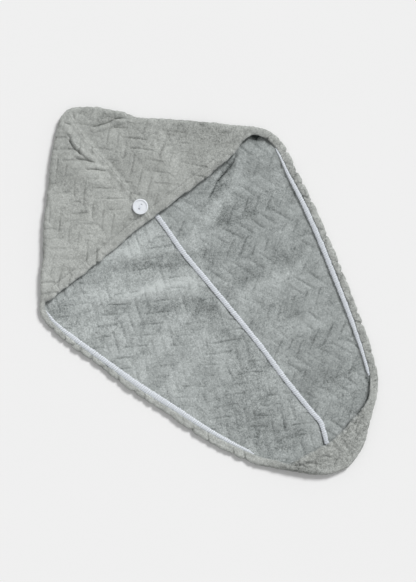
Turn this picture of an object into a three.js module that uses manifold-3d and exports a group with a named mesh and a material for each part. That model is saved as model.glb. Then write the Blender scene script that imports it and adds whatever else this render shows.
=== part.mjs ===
// A hair turban towel lying flat on its back with its mouth open upward: two fleece halves
// joined by a centre seam, turned over at one end into a hood and at the other into a small
// tail pocket, with overlocked side hems, a button on the hood's hem and an elastic loop.
// The frame: +Y runs to the crown point, +X across, +Z up from the surface it lies on.

import * as THREE from 'three';
import { mergeVertices } from 'three/addons/utils/BufferGeometryUtils.js';
import Module from 'manifold-3d';

// Overall size of the towel lying flat, in millimetres
const LENGTH = 612;
const WIDTH = 400;

// Cloth: the wall, and the clear height left inside each turned edge
const WALL = 3;
const HOOD_GAP = 6;
const HEM_GAP = 0.8;
const TAIL_GAP = 6;

// How far the hood and the tail pocket swell above their turned edges, and over what reach
const HOOD_SWELL = 6;
const HOOD_REACH = 80;
const TAIL_SWELL = 3;
const TAIL_REACH = 26;

// Hems: the side hem that shows, and the doubled hem of the hood and the tail pocket
const SIDE_HEM = 10;
const FLAP_HEM = 13;
const HEM_STEP = 1.5;

// Overlocked seams and edges
const TAPE_WIDTH = 7;
const TAPE_HEIGHT = 2.2;
const SEAM_CLEARANCE = 0.3;
const REST_CLEARANCE = 0.4;

// Rise of the tallest loose fold over the cloth around it, and how fast folds die at an edge
const FOLD_RISE = 6;
const EDGE_FADE = 22;

// Button with two holes, its thread, and the elastic loop
const BUTTON_DIAMETER = 21;
const BUTTON_HEIGHT = 3.2;
const BUTTON_RIM = 2.2;
const BUTTON_DISH = 0.9;
const BUTTON_SET_IN = 22;
const HOLE_DIAMETER = 2.4;
const HOLE_SPACING = 6;
const HOLE_TURN = 24;
const THREAD_DIAMETER = 1.6;
const LOOP_CORD = 2.2;
const LOOP_LENGTH = 25;
const LOOP_WIDTH = 17;
const LOOP_PINCH = 0.55;
const LOOP_CLEARANCE = 1;

// Mesh steps: rows round each half, and cells over the bed, round the turn and over the top
const ROWS = 50;
const BED_CELLS = 6;
const TURN_CELLS = 4;
const TOP_CELLS = 6;
const OUTLINE_SAMPLES = 1500;
const SEAM_TAPE_STEPS = 38;

// Where the outline turns, and how many more rows it needs there
const BENDS = [
  { at: 0.000, reach: 0.040, extra: 1.5 },
  { at: 0.315, reach: 0.035, extra: 1.8 },
  { at: 0.930, reach: 0.050, extra: 0.8 },
];

// Outline of each half. at: share of LENGTH from the crown point. out: share of half WIDTH.
const OUTLINE = {
  right: [
    { at: 0.000, out: -0.022 },
    { at: 0.003, out: 0.020 },
    { at: 0.019, out: 0.100 },
    { at: 0.036, out: 0.160 },
    { at: 0.063, out: 0.234 },
    { at: 0.085, out: 0.290 },
    { at: 0.108, out: 0.335 },
    { at: 0.129, out: 0.410 },
    { at: 0.173, out: 0.568 },
    { at: 0.261, out: 0.852 },
    { at: 0.294, out: 0.955 },
    { at: 0.316, out: 0.990 },
    { at: 0.338, out: 1.000 },
    { at: 0.361, out: 0.998 },
    { at: 0.405, out: 0.972 },
    { at: 0.493, out: 0.921 },
    { at: 0.669, out: 0.784 },
    { at: 0.757, out: 0.705 },
    { at: 0.835, out: 0.622 },
    { at: 0.879, out: 0.562 },
    { at: 0.912, out: 0.480 },
    { at: 0.940, out: 0.369 },
    { at: 0.980, out: 0.214 },
    { at: 0.995, out: 0.100 },
    { at: 1.000, out: 0.046 },
  ],
  left: [
    { at: 0.000, out: -0.022 },
    { at: 0.005, out: -0.085 },
    { at: 0.019, out: -0.147 },
    { at: 0.036, out: -0.207 },
    { at: 0.085, out: -0.363 },
    { at: 0.129, out: -0.491 },
    { at: 0.173, out: -0.619 },
    { at: 0.261, out: -0.848 },
    { at: 0.294, out: -0.933 },
    { at: 0.316, out: -0.985 },
    { at: 0.338, out: -1.000 },
    { at: 0.361, out: -0.997 },
    { at: 0.405, out: -0.970 },
    { at: 0.493, out: -0.892 },
    { at: 0.581, out: -0.815 },
    { at: 0.669, out: -0.720 },
    { at: 0.757, out: -0.632 },
    { at: 0.835, out: -0.521 },
    { at: 0.879, out: -0.437 },
    { at: 0.912, out: -0.349 },
    { at: 0.963, out: -0.201 },
    { at: 0.985, out: -0.115 },
    { at: 0.997, out: -0.020 },
    { at: 1.000, out: 0.046 },
  ],
};

// Centre lines across the towel. at: share of LENGTH, across: share of half WIDTH.
const FLAP_SEAM = [
  { at: 0.000, across: -0.022 },
  { at: 0.041, across: -0.035 },
  { at: 0.085, across: -0.039 },
  { at: 0.129, across: -0.029 },
  { at: 0.195, across: -0.019 },
  { at: 0.320, across: -0.019 },
];
const BED_TAPE = [
  { at: 0.000, across: -0.022, lift: 0.0 },
  { at: 0.090, across: -0.004, lift: 0.0 },
  { at: 0.173, across: 0.012, lift: 0.0 },
  { at: 0.316, across: 0.032, lift: 0.0 },
  { at: 0.405, across: 0.023, lift: 0.0 },
  { at: 0.493, across: 0.035, lift: 0.0 },
  { at: 0.669, across: 0.054, lift: 0.0 },
  { at: 0.757, across: 0.051, lift: 0.0 },
  { at: 0.857, across: 0.059, lift: 0.0 },
  { at: 0.885, across: 0.064, lift: 0.2 },
  { at: 0.912, across: 0.036, lift: 0.5 },
  { at: 0.932, across: 0.012, lift: 0.4 },
  { at: 0.960, across: 0.020, lift: 0.1 },
  { at: 1.000, across: 0.046, lift: 0.0 },
];
const TAIL_SEAM = [
  { at: 0.920, across: 0.076 },
  { at: 0.985, across: 0.070 },
  { at: 1.000, across: 0.046 },
];

// Edge of the hood's mouth and of the tail pocket, from left to right
const HOOD_EDGE = [
  { across: -1.000, at: 0.309 },
  { across: -0.777, at: 0.310 },
  { across: -0.373, at: 0.308 },
  { across: -0.103, at: 0.304 },
  { across: 0.437, at: 0.305 },
  { across: 0.640, at: 0.302 },
  { across: 0.774, at: 0.295 },
  { across: 0.850, at: 0.296 },
  { across: 1.000, at: 0.300 },
];
const TAIL_EDGE = [
  { across: -0.450, at: 0.885 },
  { across: -0.272, at: 0.914 },
  { across: -0.103, at: 0.925 },
  { across: 0.012, at: 0.931 },
  { across: 0.234, at: 0.923 },
  { across: 0.400, at: 0.909 },
  { across: 0.500, at: 0.890 },
];

// Width of the side hem and of its overlocked edge along each side, as shares of
// SIDE_HEM and TAPE_WIDTH
const SIDE = [
  { at: 0.290, hemLeft: 0.85, hemRight: 1.10, tapeLeft: 0.50, tapeRight: 0.45 },
  { at: 0.340, hemLeft: 0.78, hemRight: 1.08, tapeLeft: 0.60, tapeRight: 0.50 },
  { at: 0.405, hemLeft: 0.74, hemRight: 1.05, tapeLeft: 1.00, tapeRight: 0.85 },
  { at: 0.493, hemLeft: 0.74, hemRight: 0.92, tapeLeft: 1.10, tapeRight: 1.22 },
  { at: 0.581, hemLeft: 0.76, hemRight: 0.86, tapeLeft: 1.25, tapeRight: 1.20 },
  { at: 0.669, hemLeft: 0.85, hemRight: 0.95, tapeLeft: 1.15, tapeRight: 1.10 },
  { at: 0.757, hemLeft: 1.10, hemRight: 0.97, tapeLeft: 0.95, tapeRight: 0.90 },
  { at: 0.846, hemLeft: 1.15, hemRight: 1.02, tapeLeft: 0.60, tapeRight: 0.65 },
  { at: 0.912, hemLeft: 1.10, hemRight: 1.08, tapeLeft: 0.35, tapeRight: 0.40 },
];

// Where the hood's ribs give way to the side hem, the side hem to the tail pocket,
// and where each side's overlocked edge comes out and dives under again
const HOOD_ENDS = {
  Left: { from: 0.286, to: 0.318 },
  Right: { from: 0.240, to: 0.298 },
};
const TAIL_STARTS = { from: 0.905, to: 0.945 };
const TURN_EASE = { from: 0.270, to: 0.335, tailFrom: 0.865, tailTo: 0.950 };
const TAPE_SHOWS = { left: [0.325, 0.862], right: [0.345, 0.880] };
const BED_TAPE_RUN = [0.085, 0.938];

// Tape ends: the length of a hem tape that narrows, and the width left at a tape's end.
// The centre seam runs this share of the tape's width to the left of its middle.
const TAPE_TIP = 0.014;
const TIP_WIDTH = 0.55;
const SEAM_LIES = 0.42;

// Ribs of the bed fan out from the centre seam, which they meet between these shares
const RIB_ROOTS = [0.030, 0.972];

// Top ribs within this share of WIDTH of a top seam bend with it
const SEAM_PULL = 0.12;

// Short ribs: the most of a rib that a doubled hem takes, and its step
const HEM_MOST = 0.45;
const STEP_MOST = 0.08;

// Loose folds. across, at: the middle. turn: degrees from +X. run, spread: half length and
// half width as shares of WIDTH. high: share of FOLD_RISE.
const BED_FOLDS = [
  { across: 0.800, at: 0.343, turn: -25, run: 0.085, spread: 0.036, high: 1.00 },
  { across: 0.590, at: 0.338, turn: 20, run: 0.070, spread: 0.026, high: 0.55 },
  { across: 0.430, at: 0.515, turn: -4, run: 0.170, spread: 0.032, high: 0.60 },
  { across: -0.215, at: 0.449, turn: -28, run: 0.085, spread: 0.032, high: 0.50 },
  { across: -0.560, at: 0.455, turn: -8, run: 0.110, spread: 0.030, high: 0.35 },
];
const FLAP_FOLDS = [
  { across: 0.165, at: 0.053, turn: -30, run: 0.085, spread: 0.030, high: 0.75 },
  { across: -0.085, at: 0.075, turn: 92, run: 0.070, spread: 0.024, high: 0.50 },
  { across: -0.290, at: 0.095, turn: 38, run: 0.080, spread: 0.038, high: 0.35 },
  { across: -0.170, at: 0.148, turn: -54, run: 0.065, spread: 0.026, high: 0.40 },
  { across: 0.420, at: 0.185, turn: -35, run: 0.110, spread: 0.060, high: -0.30 },
  { across: -0.440, at: 0.215, turn: 25, run: 0.110, spread: 0.060, high: -0.25 },
];

// Cross-section of an overlocked edge. over: share of its width from the hem, up: of its height.
const TAPE_SECTION = [
  { over: 0.00, up: 0.00 },
  { over: 0.00, up: 0.80 },
  { over: 0.18, up: 1.00 },
  { over: 0.62, up: 1.00 },
  { over: 0.90, up: 0.62 },
  { over: 1.00, up: 0.15 },
  { over: 0.96, up: 0.00 },
];

const FLEECE = new THREE.MeshStandardMaterial({ color: 0x9a9d9b, roughness: 0.95, metalness: 0 });
const THREAD = new THREE.MeshStandardMaterial({ color: 0xdde1e0, roughness: 0.8, metalness: 0 });
const PLASTIC = new THREE.MeshStandardMaterial({ color: 0xe9ecee, roughness: 0.35, metalness: 0 });
const ELASTIC = new THREE.MeshStandardMaterial({ color: 0xc9cccb, roughness: 0.85, metalness: 0 });

const acrossX = (share) => (share * WIDTH) / 2;
const alongY = (share) => (0.5 - share) * LENGTH;
const shareOfY = (y) => 0.5 - y / LENGTH;
const mix = (a, b, t) => a + (b - a) * t;
const ease = (from, to, value) => THREE.MathUtils.smoothstep(value, from, to);
const radians = THREE.MathUtils.degToRad;

// Value of a table's column at a key, on a smooth curve through its rows
function read(table, keyName, key, column) {
  const last = table.length - 1;
  if (key <= table[0][keyName]) return table[0][column];
  if (key >= table[last][keyName]) return table[last][column];
  const i = table.findIndex((row) => row[keyName] > key) - 1;
  const span = table[i + 1][keyName] - table[i][keyName];
  const slope = (j) => {
    const a = table[Math.max(j - 1, 0)];
    const b = table[Math.min(j + 1, last)];
    return (b[column] - a[column]) / (b[keyName] - a[keyName]);
  };
  const t = (key - table[i][keyName]) / span;
  const t2 = t * t;
  const t3 = t2 * t;
  return (
    (2 * t3 - 3 * t2 + 1) * table[i][column] +
    (t3 - 2 * t2 + t) * span * slope(i) +
    (3 * t2 - 2 * t3) * table[i + 1][column] +
    (t3 - t2) * span * slope(i + 1)
  );
}

const tapeCentreX = (at) => acrossX(read(BED_TAPE, 'at', at, 'across'));

// The allowance lies on the right half, so the seam runs just inside the tape's left edge
function bedSeamX(at) {
  const lies = ease(0, RIB_ROOTS[0] * 2, at) * (1 - ease(BED_TAPE_RUN[1], 1, at));
  return tapeCentreX(at) - lies * SEAM_LIES * TAPE_WIDTH;
}

// Height that the loose folds of a table add at a place
function foldsAt(table, x, y) {
  let sum = 0;
  for (const fold of table) {
    const dx = x - acrossX(fold.across);
    const dy = y - alongY(fold.at);
    const c = Math.cos(radians(fold.turn));
    const s = Math.sin(radians(fold.turn));
    const run = (dx * c + dy * s) / (fold.run * WIDTH);
    const spread = (dy * c - dx * s) / (fold.spread * WIDTH);
    sum += fold.high * FOLD_RISE * Math.exp(-(run * run) - spread * spread);
  }
  return sum;
}

// The whole outline as one closed curve: crown point, right side, tail, left side
const outlinePoints = [...OUTLINE.right, ...OUTLINE.left.slice(1, -1).reverse()].map(
  (row) => new THREE.Vector3(acrossX(row.out), alongY(row.at), 0),
);
const outline = new THREE.CatmullRomCurve3(outlinePoints, true, 'centripetal');
const tailShare = (OUTLINE.right.length - 1) / outlinePoints.length;

// Bend radius of the wall's middle at a share along the outline
function turnRadius(at) {
  const hood = (HOOD_GAP + WALL) / 2;
  const hem = (HEM_GAP + WALL) / 2;
  const tail = (TAIL_GAP + WALL) / 2;
  const toHem = mix(hood, hem, ease(TURN_EASE.from, TURN_EASE.to, at));
  return mix(toHem, tail, ease(TURN_EASE.tailFrom, TURN_EASE.tailTo, at));
}

// Rows lie closer where the outline turns: crown point, mouth corners, tail
function rowDensity(at) {
  let density = 1;
  for (const bend of BENDS) density += bend.extra * Math.exp(-(((at - bend.at) / bend.reach) ** 2));
  return density;
}

// Stations round one half: where its rib starts at the seam, turns and ends at the free edge
function stations(side) {
  const samples = [];
  let travelled = 0;
  for (let k = 0; k <= OUTLINE_SAMPLES; k += 1) {
    const share = k / OUTLINE_SAMPLES;
    const t = side > 0 ? share * tailShare : 1 - share * (1 - tailShare);
    const place = outline.getPoint(t % 1);
    const tangent = outline.getTangent(t % 1).multiplyScalar(side);
    const at = shareOfY(place.y);
    if (k > 0) travelled += place.distanceTo(samples[k - 1].place) * rowDensity(at);
    samples.push({ place, tangent, at, travelled });
  }
  const rows = [];
  let k = 0;
  for (let i = 0; i <= ROWS; i += 1) {
    const goal = (travelled * i) / ROWS;
    while (k < OUTLINE_SAMPLES && samples[k].travelled < goal - 1e-6) k += 1;
    rows.push(station(side, samples[k]));
  }
  return rows;
}

function station(side, sample) {
  const name = side > 0 ? 'Right' : 'Left';
  const { place, tangent, at } = sample;
  const normal = new THREE.Vector3(-tangent.y, tangent.x, 0).multiplyScalar(side).normalize();
  const radius = turnRadius(at);
  const turn = place.clone().addScaledVector(normal, -(radius + WALL / 2));
  const rootAt = mix(RIB_ROOTS[0], RIB_ROOTS[1], at);
  const root = new THREE.Vector3(bedSeamX(rootAt), alongY(rootAt), 0);
  const hem = SIDE_HEM * read(SIDE, 'at', at, `hem${name}`);
  const tape = TAPE_WIDTH * read(SIDE, 'at', at, `tape${name}`);
  const sideEnd = place.clone().addScaledVector(normal, -hem);
  const share = (2 * turn.x) / WIDTH;
  const hoodEnd = new THREE.Vector3(turn.x, alongY(read(HOOD_EDGE, 'across', share, 'at')), 0);
  const tailEnd = new THREE.Vector3(turn.x, alongY(read(TAIL_EDGE, 'across', share, 'at')), 0);
  const hoodEnds = HOOD_ENDS[name];
  const hood = 1 - ease(hoodEnds.from, hoodEnds.to, at);
  const tail = ease(TAIL_STARTS.from, TAIL_STARTS.to, at);
  const end = sideEnd.clone().lerp(hood > 0 ? hoodEnd : tailEnd, Math.max(hood, tail));
  const reach = turn.distanceTo(end);
  const doubled = Math.min(FLAP_HEM, reach * HEM_MOST) * Math.max(hood, tail);
  return { place, normal, at, radius, turn, root, end, reach, hood, tail, doubled, tape };
}

// Sideways shift that brings the ribs beside a top seam onto it
function seamShift(row, x, y) {
  const at = shareOfY(y);
  const isHood = row.at < 0.5;
  const table = isHood ? FLAP_SEAM : TAIL_SEAM;
  const start = acrossX(isHood ? table[0].across : table[table.length - 1].across);
  const beside = 1 - ease(0, WIDTH * SEAM_PULL, Math.abs(x - start));
  return (acrossX(read(table, 'at', at, 'across')) - start) * beside * Math.max(row.hood, row.tail);
}

// Middle of the wall over the bed, from the seam (0) to the turn (1)
function bedPoint(row, share) {
  const place = row.root.clone().lerp(row.turn, share);
  const fade = ease(0, EDGE_FADE, place.distanceTo(row.turn));
  return place.setZ(WALL / 2 + foldsAt(BED_FOLDS, place.x, place.y) * fade);
}

// Middle of the wall round the turned edge, from the bed (0) to the top (1)
function turnPoint(row, share) {
  const angle = Math.PI * (share - 0.5);
  const place = row.turn.clone().addScaledVector(row.normal, row.radius * Math.cos(angle));
  return place.setZ(WALL / 2 + row.radius * (1 + Math.sin(angle)));
}

// Middle of the wall over the hood, the side hem or the tail pocket, from the turn (0)
// to the free edge (1)
function topPoint(row, share) {
  const place = row.turn.clone().lerp(row.end, share);
  const run = share * row.reach;
  const swell =
    row.hood * HOOD_SWELL * ease(0, HOOD_REACH, run) + row.tail * TAIL_SWELL * ease(0, TAIL_REACH, run);
  const folds = row.hood * foldsAt(FLAP_FOLDS, place.x, place.y) * ease(0, EDGE_FADE, run);
  place.x += seamShift(row, place.x, place.y);
  return place.setZ(WALL / 2 + 2 * row.radius + swell + folds);
}

// Shares along a top rib, with a close pair at the step where the hem is doubled
function topShares(row) {
  const step = Math.min(HEM_STEP / row.reach, STEP_MOST);
  const edge = row.doubled > 0 ? 1 - row.doubled / row.reach : TOP_CELLS / (TOP_CELLS + 1);
  const shares = [];
  for (let j = 1; j <= TOP_CELLS; j += 1) shares.push(((edge - step) * j) / TOP_CELLS);
  return [...shares, edge, 1];
}

// Joins rings of equal length into one closed wall, with the free ends capped
function closedGrid(outer, inner) {
  const rows = outer.length;
  const columns = outer[0].length;
  const positions = [...outer.flat(), ...inner.flat()].flatMap((p) => [p.x, p.y, p.z]);
  const front = (i, j) => i * columns + j;
  const back = (i, j) => rows * columns + i * columns + j;
  const index = [];
  const quad = (a, b, c, d) => index.push(a, b, c, a, c, d);
  for (let i = 0; i < rows - 1; i += 1) {
    for (let j = 0; j < columns - 1; j += 1) {
      quad(front(i, j), front(i + 1, j), front(i + 1, j + 1), front(i, j + 1));
      quad(back(i, j), back(i, j + 1), back(i + 1, j + 1), back(i + 1, j));
    }
    quad(front(i, 0), back(i, 0), back(i + 1, 0), front(i + 1, 0));
    quad(front(i, columns - 1), front(i + 1, columns - 1), back(i + 1, columns - 1), back(i, columns - 1));
  }
  for (let j = 0; j < columns - 1; j += 1) {
    quad(front(0, j), front(0, j + 1), back(0, j + 1), back(0, j));
    quad(front(rows - 1, j), back(rows - 1, j), back(rows - 1, j + 1), front(rows - 1, j + 1));
  }
  return facingOut(positions, index);
}

// Geometry from points and triangles, turned right side out
function facingOut(positions, index) {
  const geometry = new THREE.BufferGeometry();
  geometry.setAttribute('position', new THREE.Float32BufferAttribute(positions, 3));
  const corner = (k) => new THREE.Vector3().fromArray(positions, 3 * index[k]);
  let volume = 0;
  for (let k = 0; k < index.length; k += 3) {
    volume += corner(k).dot(corner(k + 1).cross(corner(k + 2)));
  }
  if (volume < 0) {
    for (let k = 0; k < index.length; k += 3) {
      [index[k + 1], index[k + 2]] = [index[k + 2], index[k + 1]];
    }
  }
  geometry.setIndex(index);
  geometry.computeVertexNormals();
  return geometry;
}

// One fleece half: the wall's middle as a grid of points, thickened along its normals
function half(side) {
  const rows = stations(side);
  const shift = (side * SEAM_CLEARANCE) / 2;
  const middle = rows.map((row) => {
    const points = [];
    for (let j = 0; j <= BED_CELLS; j += 1) points.push(bedPoint(row, j / BED_CELLS));
    for (let j = 1; j <= TURN_CELLS; j += 1) points.push(turnPoint(row, j / TURN_CELLS));
    for (const share of topShares(row)) points.push(topPoint(row, share));
    for (const point of points) point.x += shift;
    return points;
  });
  const lastColumn = middle[0].length - 1;
  const ledge = BED_CELLS + TURN_CELLS + TOP_CELLS;
  const outer = [];
  const inner = [];
  rows.forEach((row, i) => {
    outer.push([]);
    inner.push([]);
    for (let j = 0; j <= lastColumn; j += 1) {
      const normal = wallNormal(middle, i, j, side);
      const doubling = j > ledge ? WALL * Math.max(row.hood, row.tail) : 0;
      outer[i].push(middle[i][j].clone().addScaledVector(normal, WALL / 2));
      inner[i].push(middle[i][j].clone().addScaledVector(normal, -(WALL / 2 + doubling)));
    }
  });
  return { side, rows, outer, inner };
}

// Direction from the wall's middle to the cloth's outer face. Along a seam it has no part
// across the towel, so that the two halves meet face to face.
function wallNormal(middle, i, j, side) {
  const lastRow = middle.length - 1;
  const lastColumn = middle[0].length - 1;
  const down = middle[Math.min(i + 1, lastRow)][j].clone().sub(middle[Math.max(i - 1, 0)][j]);
  const over = middle[i][Math.min(j + 1, lastColumn)].clone().sub(middle[i][Math.max(j - 1, 0)]);
  if (j === 0 && i > 0 && i < lastRow) return new THREE.Vector3(0, -down.z, down.y).normalize();
  if (i === 0) return new THREE.Vector3(0, over.z, -over.y).normalize();
  if (i === lastRow) return new THREE.Vector3(0, -over.z, over.y).normalize();
  return over.cross(down).multiplyScalar(side).normalize();
}

// Overlocked strip through stations that give its inner corner, side and lift directions
function tapeStrip(places) {
  const rings = places.map(({ base, over, width, height }) =>
    TAPE_SECTION.map((corner) =>
      base.clone().addScaledVector(over, corner.over * width).setZ(base.z + corner.up * height),
    ),
  );
  const positions = rings.flat().flatMap((p) => [p.x, p.y, p.z]);
  const n = TAPE_SECTION.length;
  const index = [];
  for (let i = 0; i < rings.length - 1; i += 1) {
    for (let j = 0; j < n; j += 1) {
      const k = (j + 1) % n;
      const [a, b, c, d] = [i * n + j, i * n + k, (i + 1) * n + k, (i + 1) * n + j];
      index.push(a, b, c, a, c, d);
    }
  }
  const last = (rings.length - 1) * n;
  for (let j = 1; j < n - 1; j += 1) {
    index.push(0, j + 1, j, last, last + j, last + j + 1);
  }
  return facingOut(positions, index);
}

// Height of a facet above a place, or nothing where the place lies beside it
function facetHeight(a, b, c, x, y) {
  const area = (b.x - a.x) * (c.y - a.y) - (c.x - a.x) * (b.y - a.y);
  const v = ((x - a.x) * (c.y - a.y) - (c.x - a.x) * (y - a.y)) / area;
  const w = ((b.x - a.x) * (y - a.y) - (x - a.x) * (b.y - a.y)) / area;
  const slack = 1e-6;
  if (v < -slack || w < -slack || v + w > 1 + slack) return null;
  return a.z + v * (b.z - a.z) + w * (c.z - a.z);
}

// Height of the bed's upper face at a place, read from the facets of both halves
function bedTop(x, y) {
  let top = WALL;
  for (const { inner } of halves) {
    for (let i = 0; i < inner.length - 1; i += 1) {
      for (let j = 0; j < BED_CELLS; j += 1) {
        const [a, b, c, d] = [inner[i][j], inner[i][j + 1], inner[i + 1][j + 1], inner[i + 1][j]];
        top = Math.max(top, facetHeight(a, b, c, x, y) ?? 0, facetHeight(a, c, d, x, y) ?? 0);
      }
    }
  }
  return top;
}

// Lays a strip's stations on the bed, clear of it between stations too
function seatOnBed(places) {
  const steps = [-0.6, -0.3, 0, 0.3, 0.6];
  places.forEach((place, i) => {
    const heights = steps.flatMap((step) => {
      const next = places[Math.min(Math.max(i + Math.sign(step), 0), places.length - 1)];
      const base = place.base.clone().lerp(next.base, Math.abs(step));
      return [0, 0.5, 1].map((over) =>
        bedTop(base.x + place.over.x * place.width * over, base.y + place.over.y * place.width * over),
      );
    });
    place.base.z = Math.max(...heights) + REST_CLEARANCE + (place.raised ?? 0);
  });
  return places;
}

// Overlocked edge beside one side hem, resting on the bed
function hemTape({ side, rows }) {
  const [from, to] = side > 0 ? TAPE_SHOWS.right : TAPE_SHOWS.left;
  const places = [];
  rows.forEach((row, i) => {
    if (row.at < from || row.at > to) return;
    const edge = rows[i + 1].end.clone().sub(rows[i - 1].end).normalize();
    const over = new THREE.Vector3(edge.y, -edge.x, 0).multiplyScalar(side);
    const base = row.end.clone().addScaledVector(over, SEAM_CLEARANCE);
    base.x += (side * SEAM_CLEARANCE) / 2;
    const isTip = row.at < from + TAPE_TIP || row.at > to - TAPE_TIP;
    places.push({ base, over, width: row.tape * (isTip ? TIP_WIDTH : 1), height: TAPE_HEIGHT });
  });
  return tapeStrip(seatOnBed(places));
}

// Overlocked allowance of the centre seam, lying on the right half
function seamTape() {
  const places = [];
  for (let i = 0; i <= SEAM_TAPE_STEPS; i += 1) {
    const at = mix(BED_TAPE_RUN[0], BED_TAPE_RUN[1], i / SEAM_TAPE_STEPS);
    const raised = read(BED_TAPE, 'at', at, 'lift') * TAPE_HEIGHT;
    const width = TAPE_WIDTH * (i === 0 || i === SEAM_TAPE_STEPS ? TIP_WIDTH : 1);
    const base = new THREE.Vector3(tapeCentreX(at) - width / 2, alongY(at), 0);
    places.push({ base, over: new THREE.Vector3(1, 0, 0), width, height: TAPE_HEIGHT, raised });
  }
  return tapeStrip(seatOnBed(places));
}

// Closed mesh as a solid that can be cut
function solid(wasm, geometry) {
  const bare = geometry.clone();
  bare.deleteAttribute('normal');
  bare.deleteAttribute('uv');
  const merged = mergeVertices(bare, 1e-5);
  return new wasm.Manifold(
    new wasm.Mesh({
      numProp: 3,
      vertProperties: merged.attributes.position.array,
      triVerts: new Uint32Array(merged.index.array),
    }),
  );
}

function geometryOf(manifold) {
  const mesh = manifold.getMesh();
  const geometry = new THREE.BufferGeometry();
  geometry.setAttribute('position', new THREE.BufferAttribute(new Float32Array(mesh.vertProperties), 3));
  geometry.setIndex([...mesh.triVerts]);
  geometry.computeVertexNormals();
  return geometry;
}

// Height of the hood's outer face where it has swollen fully
const flapTop = WALL + HOOD_GAP + WALL + HOOD_SWELL;
const hoodEdgeAt = read(HOOD_EDGE, 'across', FLAP_SEAM[FLAP_SEAM.length - 1].across, 'at');
const buttonAt = hoodEdgeAt + BUTTON_SET_IN / LENGTH;
const buttonY = alongY(hoodEdgeAt) + BUTTON_SET_IN;
const buttonX = acrossX(read(FLAP_SEAM, 'at', shareOfY(buttonY), 'across'));
const buttonFoot = flapTop + SEAM_CLEARANCE;
const holes = [-1, 1].map((end) => ({
  x: buttonX + (end * HOLE_SPACING * Math.cos(radians(HOLE_TURN))) / 2,
  y: buttonY + (end * HOLE_SPACING * Math.sin(radians(HOLE_TURN))) / 2,
}));

// Dished button with a raised rim and two holes
function button(wasm) {
  const radius = BUTTON_DIAMETER / 2;
  const soft = BUTTON_HEIGHT * 0.28;
  const dishTop = BUTTON_HEIGHT - BUTTON_DISH;
  const profile = [
    [0, 0],
    [radius - 2 * soft, 0],
    [radius - soft * 0.4, soft],
    [radius, BUTTON_HEIGHT * 0.5],
    [radius - soft * 0.35, BUTTON_HEIGHT - soft * 0.4],
    [radius - soft, BUTTON_HEIGHT],
    [radius - BUTTON_RIM, BUTTON_HEIGHT],
    [radius - BUTTON_RIM - BUTTON_DISH, dishTop],
    [0, dishTop],
  ].map(([r, z]) => new THREE.Vector2(r, z));
  const disc = new THREE.LatheGeometry(profile, 40);
  disc.rotateX(Math.PI / 2);
  disc.translate(buttonX, buttonY, buttonFoot);
  let body = solid(wasm, disc);
  for (const hole of holes) {
    const drill = new THREE.CylinderGeometry(HOLE_DIAMETER / 2, HOLE_DIAMETER / 2, 4 * BUTTON_HEIGHT, 16);
    drill.rotateX(Math.PI / 2);
    drill.translate(hole.x, hole.y, buttonFoot);
    body = body.subtract(solid(wasm, drill));
  }
  return geometryOf(body);
}

// Round section for a thread or cord, as the shape that a path extrudes
function roundSection(diameter, sides) {
  const corners = [];
  for (let k = 0; k < sides; k += 1) {
    const angle = (2 * Math.PI * k) / sides;
    corners.push(new THREE.Vector2(Math.cos(angle), Math.sin(angle)).multiplyScalar(diameter / 2));
  }
  return new THREE.Shape(corners);
}

function tube(points, diameter, steps, sides) {
  const path = new THREE.CatmullRomCurve3(points, false, 'centripetal');
  const shape = roundSection(diameter, sides);
  return new THREE.ExtrudeGeometry(shape, { steps, extrudePath: path, bevelEnabled: false });
}

// Thread that goes down one hole, across the dish and down the other
function buttonThread() {
  const floor = buttonFoot + THREAD_DIAMETER / 4;
  const dish = buttonFoot + BUTTON_HEIGHT - BUTTON_DISH + SEAM_CLEARANCE + THREAD_DIAMETER / 2;
  const at = (share, z) =>
    new THREE.Vector3(mix(holes[0].x, holes[1].x, share), mix(holes[0].y, holes[1].y, share), z);
  const legs = [at(0, floor), at(0, mix(floor, dish, 0.75)), at(0.12, dish - THREAD_DIAMETER * 0.1)];
  const back = [at(0.88, dish - THREAD_DIAMETER * 0.1), at(1, mix(floor, dish, 0.75)), at(1, floor)];
  return tube([...legs, at(0.5, dish), ...back], THREAD_DIAMETER, 24, 8);
}

// Elastic loop that lies in the tail pocket, its ends toward the tail seam and its bend
// just clear of the end of the centre seam's tape
function elasticLoop() {
  const tail = outlinePoints[OUTLINE.right.length - 1];
  const z = WALL + REST_CLEARANCE + LOOP_CORD / 2;
  const reach = (LOOP_WIDTH - LOOP_CORD) / 2;
  const bend = alongY(BED_TAPE_RUN[1]) - LOOP_CLEARANCE - LOOP_CORD / 2 - reach;
  const foot = bend + reach + LOOP_CORD / 2 - LOOP_LENGTH;
  const leg = (side, share) => {
    const x = tail.x + side * reach * mix(LOOP_PINCH, 1, share);
    return new THREE.Vector3(x, mix(foot, bend, share), z);
  };
  const points = [leg(-1, 0), leg(-1, 0.5)];
  for (let k = 0; k <= 6; k += 1) {
    const angle = Math.PI * (1 - k / 6);
    points.push(new THREE.Vector3(tail.x + reach * Math.cos(angle), bend + reach * Math.sin(angle), z));
  }
  points.push(leg(1, 0.5), leg(1, 0));
  return tube(points, LOOP_CORD, 36, 8);
}

const wasm = await Module();
wasm.setup();
const halves = [half(-1), half(1)];
const [leftHalf, rightHalf] = halves;

const turban = new THREE.Group();
const add = (name, geometry, material) => {
  const mesh = new THREE.Mesh(geometry, material);
  mesh.name = name;
  turban.add(mesh);
};

add('panel_left', closedGrid(leftHalf.outer, leftHalf.inner), FLEECE);
add('panel_right', closedGrid(rightHalf.outer, rightHalf.inner), FLEECE);
add('centre_seam_tape', seamTape(), THREAD);
add('hem_tape_left', hemTape(leftHalf), THREAD);
add('hem_tape_right', hemTape(rightHalf), THREAD);
add('button', button(wasm), PLASTIC);
add('button_thread', buttonThread(), THREAD);
add('elastic_loop', elasticLoop(), ELASTIC);

export default turban;
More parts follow.
